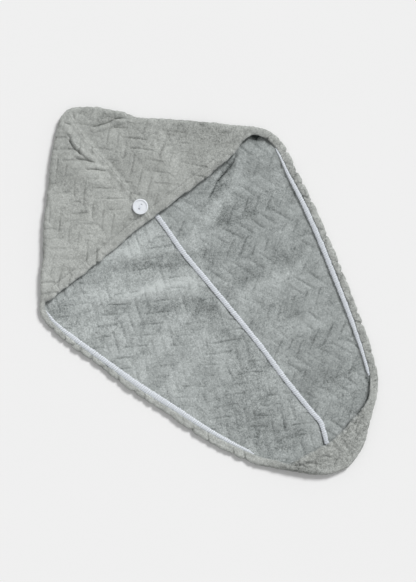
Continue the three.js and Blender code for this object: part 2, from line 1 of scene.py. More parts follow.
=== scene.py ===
import logging
import math
from collections.abc import Callable
from dataclasses import dataclass, field
from enum import Enum

import bpy
import numpy as np
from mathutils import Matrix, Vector


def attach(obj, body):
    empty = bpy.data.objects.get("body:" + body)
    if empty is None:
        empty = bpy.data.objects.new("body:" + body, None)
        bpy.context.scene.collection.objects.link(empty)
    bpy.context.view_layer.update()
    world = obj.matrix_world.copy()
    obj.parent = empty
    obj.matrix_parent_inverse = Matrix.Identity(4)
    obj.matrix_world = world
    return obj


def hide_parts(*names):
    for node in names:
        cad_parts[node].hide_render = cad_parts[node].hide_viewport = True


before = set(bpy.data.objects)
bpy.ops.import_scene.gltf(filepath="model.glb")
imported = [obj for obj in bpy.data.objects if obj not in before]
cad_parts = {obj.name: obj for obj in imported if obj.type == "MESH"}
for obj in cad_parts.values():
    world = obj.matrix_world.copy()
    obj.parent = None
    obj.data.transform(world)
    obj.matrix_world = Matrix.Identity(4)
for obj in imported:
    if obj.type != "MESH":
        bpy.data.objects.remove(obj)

# The towel is worked out in millimetres, as its pattern is cut, and its meshes are in metres
MM = 0.001
PHOTO_HEIGHT = 582
MM_PER_PIXEL = 1.35

# A length too short to divide by, and a step that settles a tie between two keys
TINY = 1e-9
TIE = 1e-7

# Multipliers of the random fields: for X, Y and seed, for column and brick, and for the wave
GRID_HASH = (127.1, 311.7, 74.7)
BRICK_HASH = (12.99, 78.23)
HASH_SCALE = 43758.5453

# The part of a noise texture's range that its values fill
NOISE_RANGE = (0.3, 0.7)

LOG = logging.getLogger("turban")

Array = np.ndarray
Piece = bpy.types.Object
Socket = bpy.types.NodeSocket
Pair = tuple[float, float]
Triple = tuple[float, float, float]
Layers = tuple[Triple, ...]


class Side(Enum):
    """The two halves of the towel, as the sign of X."""

    LEFT = -1
    RIGHT = 1


class Face(Enum):
    """The two faces of the fleece: OUTER shows on hood and hems, INNER in the mouth."""

    OUTER = 1
    INNER = -1


class Pick(Enum):
    """What a selection picks."""

    FACE = "FACE"
    EDGE = "EDGE"


def ease(start: float, stop: float, value: Array) -> Array:
    """Smooth step from 0 at start to 1 at stop."""
    t = np.clip((value - start) / (stop - start), 0.0, 1.0)
    return t * t * (3.0 - 2.0 * t)


def mix(first: Array, second: Array, share: Array) -> Array:
    """Value between two others."""
    return first + (second - first) * share


def bell(value: Array, width: float) -> Array:
    """1 at 0, falling smoothly to nearly 0 at two widths away."""
    return np.exp(-((value / width) ** 2))


def unit(rows: Array) -> Array:
    """Rows scaled to a length of 1."""
    return rows / np.maximum(np.linalg.norm(rows, axis=1), TINY)[:, None]


def turned_axes(x: Array, y: Array, degrees: float) -> tuple[Array, Array]:
    """Places along and across a direction that is turned from +X."""
    c, s = math.cos(math.radians(degrees)), math.sin(math.radians(degrees))
    return x * c + y * s, y * c - x * s


def travel(points: Array) -> Array:
    """Distance travelled along a path to each of its points."""
    steps = np.linalg.norm(np.diff(points, axis=0), axis=1)
    return np.concatenate([[0.0], np.cumsum(steps)])


def rows_at(wanted: Array, travelled: Array, rows: Array) -> Array:
    """Rows between others, at the wanted distances along a path."""
    return np.column_stack([np.interp(wanted, travelled, column) for column in rows.T])


def by_chance(angle: Array) -> Array:
    """Random value from -1 to 1 for each angle."""
    wave = np.sin(angle) * HASH_SCALE
    return 2.0 * (wave - np.floor(wave)) - 1.0


def soft_noise(x: Array, y: Array, cell: float, seed: float) -> Array:
    """Smooth random field over a plane.

    Args:
        x: Places across, in millimetres.
        y: Places along, in millimetres.
        cell: Size of one lump, in millimetres.
        seed: Number that tells one field from another.

    Returns:
        Values from -1 to 1.
    """
    for_x, for_y, for_seed = GRID_HASH
    grid_x, grid_y = np.floor(x / cell), np.floor(y / cell)
    blend_x = ease(0.0, 1.0, x / cell - grid_x)
    blend_y = ease(0.0, 1.0, y / cell - grid_y)

    def corner(step_x: int, step_y: int) -> Array:
        """Random value at a corner of the cell."""
        return by_chance((grid_x + step_x) * for_x + (grid_y + step_y) * for_y + seed * for_seed)

    low = mix(corner(0, 0), corner(1, 0), blend_x)
    high = mix(corner(0, 1), corner(1, 1), blend_x)
    return mix(low, high, blend_y)


def layered_noise(x: Array, y: Array, layers: Layers) -> Array:
    """Sum of smooth random fields, each given by its strength, cell and seed."""
    return sum(strength * soft_noise(x, y, cell, seed) for strength, cell, seed in layers)


@dataclass(frozen=True)
class Curve:
    """A value that changes smoothly along a key, such as a width along the towel."""

    rows: tuple[Pair, ...]

    def at(self, key: Array) -> Array:
        """Value on the smooth curve through the rows at each key.

        Args:
            key: Places along the curve.

        Returns:
            The value at each place.
        """
        keys, values = np.array(self.rows).T
        last = len(keys) - 1
        index = np.arange(last + 1)
        low, high = np.maximum(index - 1, 0), np.minimum(index + 1, last)
        slope = (values[high] - values[low]) / (keys[high] - keys[low])
        held = np.clip(key, keys[0], keys[-1])
        i = np.clip(np.searchsorted(keys, held, side="right") - 1, 0, last - 1)
        span = keys[i + 1] - keys[i]
        t = (held - keys[i]) / span
        return (
            (2 * t**3 - 3 * t**2 + 1) * values[i]
            + (t**3 - 2 * t**2 + t) * span * slope[i]
            + (3 * t**2 - 2 * t**3) * values[i + 1]
            + (t**3 - t**2) * span * slope[i + 1]
        )


@dataclass(frozen=True)
class Fold:
    """A loose rounded fold: its middle in mm, degrees from +X, half length, half width, rise."""

    x: float
    y: float
    turn: float
    run: float
    spread: float
    rise: float

    def height(self, x: Array, y: Array) -> Array:
        """Height that the fold adds at each place."""
        along, across = turned_axes(x - self.x, y - self.y, self.turn)
        return self.rise * np.exp(-((along / self.run) ** 2) - (across / self.spread) ** 2)


@dataclass(frozen=True)
class Crease:
    """A sharp fold: a narrow valley along a path, with a soft lip beside it.

    The lip's spread and the run of its ends are in widths of the valley.
    """

    path: tuple[Pair, ...]
    depth: float = 2.0
    width: float = 1.7
    lip: float = 1.2
    lip_away: float = 3.6
    lip_spread: float = 1.7
    lip_ends: float = 2.0

    def height(self, x: Array, y: Array) -> Array:
        """Height that the crease adds at each place.

        Args:
            x: Places across, in millimetres.
            y: Places along, in millimetres.

        Returns:
            Height at each place, in millimetres.
        """
        nearest = np.full(x.shape, np.inf)
        signed = np.zeros(x.shape)
        for (x0, y0), (x1, y1) in zip(self.path, self.path[1:]):
            dx, dy = x1 - x0, y1 - y0
            length = math.hypot(dx, dy)
            t = np.clip(((x - x0) * dx + (y - y0) * dy) / length**2, 0.0, 1.0)
            off_x, off_y = x - (x0 + t * dx), y - (y0 + t * dy)
            away = np.hypot(off_x, off_y)
            closer = away < nearest
            nearest = np.where(closer, away, nearest)
            signed = np.where(closer, (dx * off_y - dy * off_x) / length, signed)
        past = np.sqrt(np.maximum(nearest**2 - signed**2, 0.0))
        lip = self.lip * bell(signed - self.lip_away, self.lip_spread * self.width)
        return lip * bell(past, self.lip_ends * self.width) - self.depth * bell(nearest, self.width)


@dataclass(frozen=True)
class Herringbone:
    """The sculpted pile: slanted bricks in columns that lean the other way by turns.

    Lengths are in millimetres, and the slope in degrees. The two wanders and the worn patches
    are given by the cell and seed of their random fields.
    """

    column: float = 24.4
    pitch: float = 18.4
    slope: float = 39.5
    groove: float = 1.08
    column_groove: float = 0.14
    crown: float = 0.28
    step: float = 0.42
    wander: float = 3.0
    wander_across: Pair = (46.0, 3.0)
    wander_along: Pair = (37.0, 8.0)
    worn: float = 0.75
    worn_patches: Pair = (15.0, 9.0)
    worn_range: Pair = (-0.45, 0.45)
    shade_by_lean: float = 0.45
    shade_by_chance: float = 0.55

    def brick(self, across: Array, along: Array) -> tuple[Array, Array, Array]:
        """Column number, share of the way across that column, and count of bricks along it.

        Args:
            across: Distance across the columns, in millimetres.
            along: Distance along the columns, in millimetres.

        Returns:
            The three as arrays.
        """
        p = across + self.wander * soft_noise(across, along, *self.wander_across)
        q = along + self.wander * soft_noise(across, along, *self.wander_along)
        number = np.floor(p / self.column)
        share = p / self.column - number
        rise = math.tan(math.radians(self.slope)) * self.column * self.lean(number)
        return number, share, (q - rise * (share - 0.5)) / self.pitch + self.step * (number % 2)

    @staticmethod
    def lean(number: Array) -> Array:
        """Which way the bricks of a column lean, 1 or -1."""
        return 1.0 - 2.0 * (number % 2)

    def shade(self, across: Array, along: Array) -> Array:
        """Light or dark of each brick, from -1 to 1: painted light by its lean, for the way its pile lies,
        and random tone by chance.

        Args:
            across: Distance across the columns, in millimetres.
            along: Distance along the columns, in millimetres.

        Returns:
            Shade of each place.
        """
        for_column, for_brick = BRICK_HASH
        number, _, phase = self.brick(across, along)
        chance = by_chance(number * for_column + np.floor(phase) * for_brick)
        return self.shade_by_lean * self.lean(number) + self.shade_by_chance * chance

    def height(self, across: Array, along: Array) -> Array:
        """Height of the pile, about 0.3 on a brick and -1 in a groove.

        Args:
            across: Distance across the columns, in millimetres.
            along: Distance along the columns, in millimetres.

        Returns:
            Height as a share of the groove's depth.
        """
        _, share, phase = self.brick(across, along)
        part = phase - np.floor(phase)
        to_diagonal = np.minimum(part, 1 - part) * self.pitch * math.cos(math.radians(self.slope))
        to_column = np.minimum(share, 1 - share) * self.column
        straight = self.column_groove * bell(to_column, self.groove)
        pillow = (1 - (2 * part - 1) ** 2) * (1 - (2 * share - 1) ** 4)
        clear = 1 - self.worn * ease(*self.worn_range, soft_noise(across, along, *self.worn_patches))
        grooves = 1 - (1 - bell(to_diagonal, self.groove)) * (1 - straight)
        return self.crown * pillow - clear * grooves


@dataclass(frozen=True)
class TowelPlan:
    """Sizes of the towel and the curves that its outline, hems and seams follow.

    Lengths are in millimetres. Places along the towel are shares of its length from the crown
    point, and places across it are shares of half its width. The rows of the two edges, the
    seams and bed_tape have the place along and then the place across, hood_edge and tail_edge
    have them the other way round, and the other curves have the place along and a share of the
    full size. tape_rise_ends is how far outside and inside the tape's ends its rise starts,
    droop_more is how much further the hood's hem droops, at which X and over what width, and
    droop_lessens and droop_ends are from one X to another.
    """

    length: float = 612.0
    width: float = 400.0
    wall: float = 3.0
    hood_gap: float = 6.0
    hem_gap: float = 0.8
    tail_gap: float = 6.0
    hood_swell: float = 6.0
    hood_reach: float = 80.0
    tail_swell: float = 3.0
    tail_reach: float = 26.0
    hem_uneven: float = 1.0
    tape_rise: float = 1.9
    tape_rise_run: float = 3.6
    tape_rise_ends: Pair = (0.03, 0.02)
    uneven_run: float = 14.0
    crease_fade: float = 7.0
    hem_droop: float = 6.0
    droop_run: float = 26.0
    droop_more: Triple = (2.0, -60.0, 45.0)
    droop_less: float = 0.20
    droop_lessens: Pair = (-40.0, 20.0)
    droop_ends: Pair = (80.0, 135.0)
    least_hem: float = 6.0
    least_run: float = 0.35
    side_hem: float = 10.0
    flap_hem: float = 13.0
    tape_width: float = 7.0
    tape_height: float = 2.2
    seam_clearance: float = 0.3
    seam_joint: float = 0.02
    rest_clearance: float = 0.4
    edge_fade: float = 22.0
    seam_pull: float = 0.12
    seam_lies: float = 0.42
    hem_most: float = 0.45
    rib_roots: Pair = (0.030, 0.972)
    tape_run: Pair = (0.085, 0.938)
    hood_ends_right: Pair = (0.240, 0.298)
    hood_ends_left: Pair = (0.286, 0.318)
    tail_starts: Pair = (0.905, 0.945)
    hood_turn: Pair = (0.270, 0.335)
    tail_turn: Pair = (0.865, 0.950)
    right_edge: tuple[Pair, ...] = (
        (0.000, -0.022), (0.003, 0.020), (0.019, 0.100), (0.036, 0.160), (0.063, 0.234), (0.085, 0.290),
        (0.108, 0.335), (0.129, 0.410), (0.173, 0.568), (0.261, 0.852), (0.294, 0.955), (0.316, 0.990),
        (0.338, 1.000), (0.361, 0.998), (0.405, 0.972), (0.493, 0.921), (0.669, 0.784), (0.757, 0.705),
        (0.835, 0.622), (0.879, 0.562), (0.912, 0.480), (0.940, 0.369), (0.980, 0.214), (0.995, 0.100),
        (1.000, 0.046),
    )
    left_edge: tuple[Pair, ...] = (
        (0.000, -0.022), (0.005, -0.085), (0.019, -0.147), (0.036, -0.207), (0.085, -0.363),
        (0.129, -0.491), (0.173, -0.619), (0.261, -0.848), (0.294, -0.933), (0.316, -0.985),
        (0.338, -1.000), (0.361, -0.997), (0.405, -0.970), (0.493, -0.892), (0.581, -0.815),
        (0.669, -0.720), (0.757, -0.632), (0.835, -0.521), (0.879, -0.437), (0.912, -0.349),
        (0.963, -0.201), (0.985, -0.115), (0.997, -0.020), (1.000, 0.046),
    )
    hood_seam: Curve = Curve(
        (
            (0.000, -0.022), (0.041, -0.035), (0.085, -0.039), (0.129, -0.029), (0.195, -0.019),
            (0.320, -0.019),
        )
    )
    tail_seam: Curve = Curve(((0.920, 0.076), (0.985, 0.070), (1.000, 0.046)))
    bed_tape: Curve = Curve(
        (
            (0.000, -0.022), (0.090, -0.004), (0.173, 0.012), (0.316, 0.032), (0.405, 0.023),
            (0.493, 0.035), (0.669, 0.054), (0.757, 0.051), (0.857, 0.059), (0.885, 0.064),
            (0.912, 0.036), (0.932, 0.012), (0.960, 0.020), (1.000, 0.046),
        )
    )
    tape_lift: Curve = Curve(
        ((0.857, 0.0), (0.885, 0.2), (0.912, 0.5), (0.932, 0.4), (0.960, 0.1), (1.000, 0.0))
    )
    hood_edge: Curve = Curve(
        (
            (-1.000, 0.309), (-0.777, 0.310), (-0.373, 0.308), (-0.103, 0.304), (0.437, 0.305),
            (0.640, 0.302), (0.774, 0.295), (0.850, 0.296), (1.000, 0.300),
        )
    )
    tail_edge: Curve = Curve(
        (
            (-0.450, 0.885), (-0.272, 0.914), (-0.103, 0.925), (0.012, 0.931), (0.234, 0.923),
            (0.400, 0.909), (0.500, 0.890),
        )
    )
    hem_left: Curve = Curve(
        (
            (0.290, 0.85), (0.340, 0.78), (0.405, 0.74), (0.493, 0.74), (0.581, 0.76), (0.669, 0.85),
            (0.757, 1.10), (0.846, 1.15), (0.912, 1.10),
        )
    )
    hem_right: Curve = Curve(
        (
            (0.290, 1.10), (0.340, 1.08), (0.405, 1.05), (0.493, 0.92), (0.581, 0.86), (0.669, 0.95),
            (0.757, 0.97), (0.846, 1.02), (0.912, 1.08),
        )
    )
    tape_left: Curve = Curve(
        (
            (0.290, 0.50), (0.340, 0.60), (0.405, 1.00), (0.493, 1.10), (0.581, 1.25), (0.669, 1.15),
            (0.757, 0.95), (0.846, 0.60), (0.912, 0.35),
        )
    )
    tape_right: Curve = Curve(
        (
            (0.290, 0.32), (0.345, 0.36), (0.375, 0.48), (0.412, 0.70), (0.440, 0.82), (0.484, 0.94),
            (0.543, 1.02), (0.596, 1.04), (0.669, 1.00), (0.757, 0.90), (0.846, 0.64), (0.912, 0.40),
        )
    )
    shows_left: Pair = (0.319, 0.862)
    shows_right: Pair = (0.345, 0.880)
    samples: int = 3000

    def across_x(self, share: Array) -> Array:
        """X of a share of half the width."""
        return share * self.width / 2

    def along_y(self, share: Array) -> Array:
        """Y of a share of the length."""
        return (0.5 - share) * self.length

    def share_of_y(self, y: Array) -> Array:
        """Share of the length at a Y."""
        return 0.5 - y / self.length

    def seam_x(self, at: Array) -> Array:
        """X of the bed's seam, just inside the tape's left edge.

        Args:
            at: Places along the towel, as shares of its length.

        Returns:
            X in millimetres.
        """
        start = ease(0.0, self.rib_roots[0] * 2, at)
        stop = 1 - ease(self.tape_run[1], 1.0, at)
        return self.across_x(self.bed_tape.at(at)) - start * stop * self.seam_lies * self.tape_width

    def turn_radius(self, at: Array) -> Array:
        """Bend radius of the wall's middle at the turned edge.

        Args:
            at: Places along the towel, as shares of its length.

        Returns:
            Radius in millimetres.
        """
        hood, hem, tail = ((gap + self.wall) / 2 for gap in (self.hood_gap, self.hem_gap, self.tail_gap))
        to_hem = mix(hood, hem, ease(*self.hood_turn, at))
        return mix(to_hem, tail, ease(*self.tail_turn, at))

    def outline(self, side: Side, spacing: float) -> tuple[Array, Array]:
        """Places at even steps round one half, from the crown point to the tail.

        Args:
            side: The half to go round.
            spacing: Distance between places, in millimetres.

        Returns:
            The places and the directions of travel there, each as rows of X and Y.
        """
        ring = [*self.right_edge, *reversed(self.left_edge[1:-1])]
        points = np.array([[self.across_x(out), self.along_y(at)] for at, out in ring])
        count = len(points)
        tail_share = (len(self.right_edge) - 1) / count
        shares = np.linspace(0.0, 1.0, self.samples + 1)
        t = shares * tail_share if side is Side.RIGHT else 1 - shares * (1 - tail_share)
        place = t * count
        i = np.floor(place).astype(int)
        w = (place - i)[:, None]
        p0, p1, p2, p3 = (points[(i + k) % count] for k in (-1, 0, 1, 2))
        pairs = ((p0, p1), (p1, p2), (p2, p3))
        d0, d1, d2 = (np.sqrt(np.linalg.norm(b - a, axis=1))[:, None] for a, b in pairs)
        m1 = d1 * ((p1 - p0) / d0 - (p2 - p0) / (d0 + d1) + (p2 - p1) / d1)
        m2 = d1 * ((p2 - p1) / d1 - (p3 - p1) / (d1 + d2) + (p3 - p2) / d2)
        path = p1 + m1 * w + (3 * (p2 - p1) - 2 * m1 - m2) * w**2 + (2 * (p1 - p2) + m1 + m2) * w**3
        travelled = travel(path)
        wanted = np.linspace(0.0, travelled[-1], int(travelled[-1] / spacing) + 1)
        places = rows_at(wanted, travelled, path)
        return places, unit(np.gradient(places, axis=0))


PLAN = TowelPlan()

BED_FOLDS = (
    Fold(160.0, 96.1, -25, 34.0, 14.4, 6.0), Fold(118.0, 99.1, 20, 28.0, 10.4, 3.3),
    Fold(86.0, -9.2, -4, 68.0, 12.8, 3.6), Fold(-43.0, 31.2, -28, 34.0, 12.8, 3.0),
    Fold(-112.0, 27.5, -8, 44.0, 12.0, 2.1), Fold(-92.0, 55.0, -29, 42.0, 9.0, 2.4),
    Fold(-43.0, 91.0, -28, 50.0, 10.0, 2.8), Fold(-12.0, -9.0, -57, 24.0, 9.0, 2.2),
    Fold(84.0, -60.0, -1, 46.0, 12.0, 2.4), Fold(96.0, 74.0, 10, 48.0, 11.0, 1.8),
    Fold(62.0, -128.0, -34, 40.0, 13.0, 1.3), Fold(-84.0, -70.0, 62, 36.0, 11.0, 1.1),
    Fold(-60.0, -104.0, 66, 34.0, 10.0, 1.0), Fold(34.0, -186.0, 64, 36.0, 12.0, 1.2),
    Fold(-40.0, -186.0, -58, 36.0, 12.0, 1.1),
)
# Painted light and shade on the bed, as Fold rows whose rise is a change of shade: the lit and shaded sides
# of its folds, the hem's shadow along the hood's edge, the deep shadow in the mouth's right corner, and
# patches for the way the pile lies
BED_PAINTED_LIGHT_AND_NAP = (
    Fold(114.0, 92.0, 22, 40.0, 9.0, 0.36), Fold(52.0, 72.0, 12, 42.0, 9.0, 0.42),
    Fold(100.0, 45.0, 10, 42.0, 26.0, -0.26), Fold(126.0, -29.0, -8, 40.0, 11.0, -0.32),
    Fold(50.0, -19.0, -3, 44.0, 12.0, -0.34), Fold(86.0, -49.0, -6, 56.0, 11.0, 0.44),
    Fold(130.0, 16.0, 10, 22.0, 10.0, -0.16), Fold(24.0, -34.0, 70, 40.0, 16.0, 0.18),
    Fold(-130.0, 60.0, 66, 44.0, 20.0, 0.10), Fold(14.0, 40.0, 60, 24.0, 10.0, 0.16),
    Fold(108.0, 107.0, 18, 28.0, 3.5, -0.50), Fold(131.0, 117.0, 30, 16.0, 6.0, -0.34),
    # The Fold at (176, 122) is the painted deep shadow in the mouth's right corner
    Fold(176.0, 122.0, -37, 17.0, 6.5, -2.20), Fold(-48.0, 110.0, -13, 44.0, 8.0, 0.40),
    Fold(-58.0, 84.0, -27, 40.0, 7.0, -0.34), Fold(-17.0, 60.0, -32, 30.0, 10.0, -0.62),
    Fold(-122.0, 84.0, -32, 32.0, 8.0, 0.22), Fold(-60.0, 47.0, -29, 36.0, 8.0, 0.62),
    Fold(-16.0, 24.0, -28, 22.0, 8.0, 0.48), Fold(-100.0, 42.0, -30, 36.0, 8.0, -0.26),
    Fold(-52.0, 8.0, -36, 34.0, 9.0, -0.48), Fold(-12.0, -26.0, -52, 28.0, 9.0, -0.42),
    Fold(-8.0, -86.0, -82, 40.0, 12.0, -0.34), Fold(-96.0, -48.0, 70, 46.0, 22.0, 0.16),
    Fold(-50.0, -120.0, 62, 80.0, 36.0, -0.19), Fold(-16.0, -154.0, 62, 22.0, 11.0, -0.26),
    Fold(-10.0, -112.0, 60, 16.0, 12.0, -0.12), Fold(-91.0, 8.0, 40, 22.0, 14.0, -0.14),
    Fold(-64.0, -224.0, -52, 30.0, 12.0, -0.16), Fold(-70.0, -26.0, 70, 34.0, 15.0, -0.17),
    Fold(-24.0, -236.0, 0, 34.0, 22.0, -0.22), Fold(-178.0, 101.0, 62, 17.0, 9.0, -0.30),
    Fold(164.0, 113.0, -30, 17.0, 9.0, -0.22), Fold(71.0, -112.0, 40, 26.0, 16.0, -0.12),
    Fold(-9.5, 29.0, 60, 16.0, 10.0, -0.18), Fold(-50.0, -58.0, -60, 30.0, 16.0, 0.12),
    Fold(-52.0, -190.0, -52, 54.0, 36.0, -0.52), Fold(-24.0, -229.0, 0, 10.0, 9.0, -0.34),
    Fold(34.0, -120.0, 60, 40.0, 24.0, 0.10), Fold(58.0, -184.0, 0, 44.0, 40.0, -0.30),
)
# Painted shade along creases in the bed, as Crease rows whose depth is how much darker the line is, with a
# faint painted light on some lips
BED_PAINTED_CREASE_SHADE = (
    Crease(((80.0, 96.0), (98.6, 106.4), (116.0, 110.0)), 0.75, 1.2, 0.12, 5.0),
    Crease(((116.0, 110.0), (129.0, 112.4), (143.0, 121.0)), 0.45, 1.5, 0.10, 5.0),
    Crease(((98.0, -226.0), (97.0, -236.0), (89.0, -246.0), (78.0, -252.5), (65.0, -258.5)), 1.0, 2.2, 0.0),
)
BED_CREASES = (
    Crease(
        ((83.0, 99.6), (98.6, 106.4), (116.0, 110.0), (129.0, 112.4), (143.0, 121.0)), 2.2, 1.5, 1.2, 4.4
    ),
    Crease(((132.0, 112.0), (150.0, 108.0), (168.0, 106.0)), 1.0, 1.8, 0.6, -4.0),
)
HOOD_FOLDS = (
    Fold(33.0, 273.6, -30, 34.0, 12.0, 4.5), Fold(-17.0, 260.1, 92, 28.0, 9.6, 3.0),
    Fold(-58.0, 247.9, 38, 32.0, 15.2, 2.1), Fold(-34.0, 215.4, -54, 26.0, 10.4, 2.4),
    Fold(84.0, 192.8, -35, 44.0, 24.0, -1.8), Fold(-88.0, 174.4, 25, 44.0, 24.0, -1.5),
)
HOOD_CREASES = (
    Crease(((-22.3, 279.0), (-23.0, 274.0)), 1.6, 1.4, 0.8, 3.4),
    Crease(((-25.4, 270.0), (-26.1, 263.6), (-26.0, 256.0), (-24.5, 248.4)), 3.0, 1.35, 1.4, 3.4),
    Crease(((-24.5, 248.4), (-20.6, 232.7)), 1.3, 1.5, 0.8, 3.6),
    Crease(((-32.1, 245.4), (-24.0, 236.4), (-17.7, 228.0)), 1.8, 1.5, 1.2, 3.6),
    Crease(((-29.8, 224.9), (-21.0, 218.2), (-13.5, 210.0)), 1.6, 1.5, 1.2, 3.4),
    Crease(((-19.1, 297.0), (-12.3, 288.0)), 1.4, 1.4, 0.8, 3.2),
    Crease(((0.2, 297.5), (-2.5, 291.0)), 1.4, 1.4, 0.8, 3.0),
    Crease(((11.0, 265.5), (25.2, 259.3), (39.6, 255.8), (46.4, 253.6)), 3.2, 1.9, 2.6, -4.0),
    Crease(((46.4, 253.6), (57.0, 247.5), (65.8, 240.0)), 1.4, 1.8, 2.0, -4.0),
    Crease(((14.0, 274.0), (32.0, 268.0)), 1.2, 3.0, 0.0, 4.0),
)
# Painted light and shade on the hood, hems and tail pocket, as Fold rows whose rise is a change of shade:
# lit and shaded sides of folds, the shade along the tail's lower edge, and patches for the way the pile lies
TOP_PAINTED_LIGHT_AND_NAP = (
    Fold(-146.0, 134.0, 60, 22.0, 12.0, 0.22), Fold(-108.0, 152.0, 20, 36.0, 16.0, 0.12),
    Fold(-33.0, 180.0, 70, 24.0, 13.0, -0.16), Fold(30.0, 160.0, 50, 38.0, 16.0, 0.12),
    Fold(-44.0, 258.0, 62, 28.0, 13.0, -0.14), Fold(64.0, 161.0, 62, 38.0, 16.0, 0.26),
    Fold(126.0, 168.0, -40, 60.0, 30.0, -0.18), Fold(-8.0, 246.0, 60, 34.0, 18.0, 0.12),
    Fold(-62.0, -262.0, -50, 52.0, 9.0, -0.36), Fold(-51.0, 232.0, 62, 48.0, 16.0, -0.18),
    Fold(37.0, 208.0, 32, 32.0, 12.0, -0.16), Fold(20.0, 128.0, 0, 90.0, 9.0, 0.14),
    Fold(-11.0, -277.0, 0, 70.0, 24.0, -0.20), Fold(36.0, 262.0, -24, 20.0, 7.0, -0.30),
)
TAIL_CREASES = (
    Crease(((-52.0, -260.0), (-40.5, -268.5)), 1.8, 1.6, 1.0, 3.4),
    Crease(((-36.0, -268.0), (-26.0, -275.5)), 1.8, 1.6, 1.0, 3.4),
    Crease(((-10.0, -276.0), (-4.0, -281.0)), 1.6, 1.5, 0.8, 3.2),
    Crease(((-14.0, -295.5), (-1.5, -288.5)), 1.8, 1.6, 1.0, -3.4),
    Crease(((2.0, -299.0), (9.5, -303.5)), 1.4, 1.5, 0.8, 3.2),
    Crease(((30.0, -283.0), (44.0, -279.0)), 1.0, 1.8, 0.8, 3.4),
    Crease(((40.0, -268.0), (52.0, -262.0)), 1.6, 1.2, 0.6, 3.0),
    Crease(((-30.0, -284.0), (-19.0, -290.0)), 1.4, 1.3, 0.6, 3.0),
)


def total_height(forms: tuple[Fold | Crease, ...], x: Array, y: Array) -> Array:
    """Height that all of the folds or creases add at each place."""
    return sum((form.height(x, y) for form in forms), np.zeros(x.shape))


@dataclass
class Ribs:
    """Ribs that run from the seam over the bed, round the turned edge and back over the top."""

    side: Side
    spacing: float = 1.35
    plan: TowelPlan = PLAN

    def __post_init__(self) -> None:
        """Work out where each rib starts, turns and ends."""
        plan = self.plan
        right = self.side is Side.RIGHT
        self.place, heading = plan.outline(self.side, self.spacing)
        self.normal = self.side.value * np.column_stack([-heading[:, 1], heading[:, 0]])
        self.at = plan.share_of_y(self.place[:, 1])
        self.radius = plan.turn_radius(self.at)
        self.turn = self.place - self.normal * (self.radius + plan.wall / 2)[:, None]
        root_at = mix(*plan.rib_roots, self.at)
        self.root = np.column_stack([plan.seam_x(root_at), plan.along_y(root_at)])
        hem = plan.side_hem * (plan.hem_right if right else plan.hem_left).at(self.at)
        self.tape = plan.tape_width * (plan.tape_right if right else plan.tape_left).at(self.at)
        side_end = self.place - self.normal * hem[:, None]
        share = 2 * self.turn[:, 0] / plan.width
        hood_end, tail_end = (
            np.column_stack([self.turn[:, 0], plan.along_y(edge.at(share))])
            for edge in (plan.hood_edge, plan.tail_edge)
        )
        self.hood = 1 - ease(*(plan.hood_ends_right if right else plan.hood_ends_left), self.at)
        self.tail = ease(*plan.tail_starts, self.at)
        self.covered = np.maximum(self.hood, self.tail)
        goal = np.where((self.hood > 0)[:, None], hood_end, tail_end)
        self.end = mix(side_end, goal, self.covered[:, None])
        self.reach = np.linalg.norm(self.turn - self.end, axis=1)
        self.doubled = np.minimum(plan.flap_hem, self.reach * plan.hem_most) * self.covered
        self.doubling = plan.wall * self.covered
        self.roll = (plan.wall + self.doubling) / 2
        self.top_run = np.maximum(self.reach - self.roll, plan.least_run * self.reach)
        self.bed_run = np.linalg.norm(self.turn - self.root, axis=1)

    def rise(self, row: Array, away: Array) -> Array:
        """Rise of the bed under the right hem's tape, at a distance from the turned edge.

        Args:
            row: Number of the rib.
            away: Distance from the turned edge, in millimetres.

        Returns:
            Rise at each place, in millimetres.
        """
        plan, at = self.plan, self.at[row]
        if self.side is Side.LEFT:
            return np.zeros(len(row))
        start, stop = plan.shows_right
        outside, inside = plan.tape_rise_ends
        starts = ease(start - outside, start + inside, at)
        stops = 1 - ease(stop - inside, stop + outside, at)
        past_hem = away - self.reach[row] - self.tape[row] / 2
        return plan.tape_rise * starts * stops * bell(past_hem, plan.tape_rise_run)


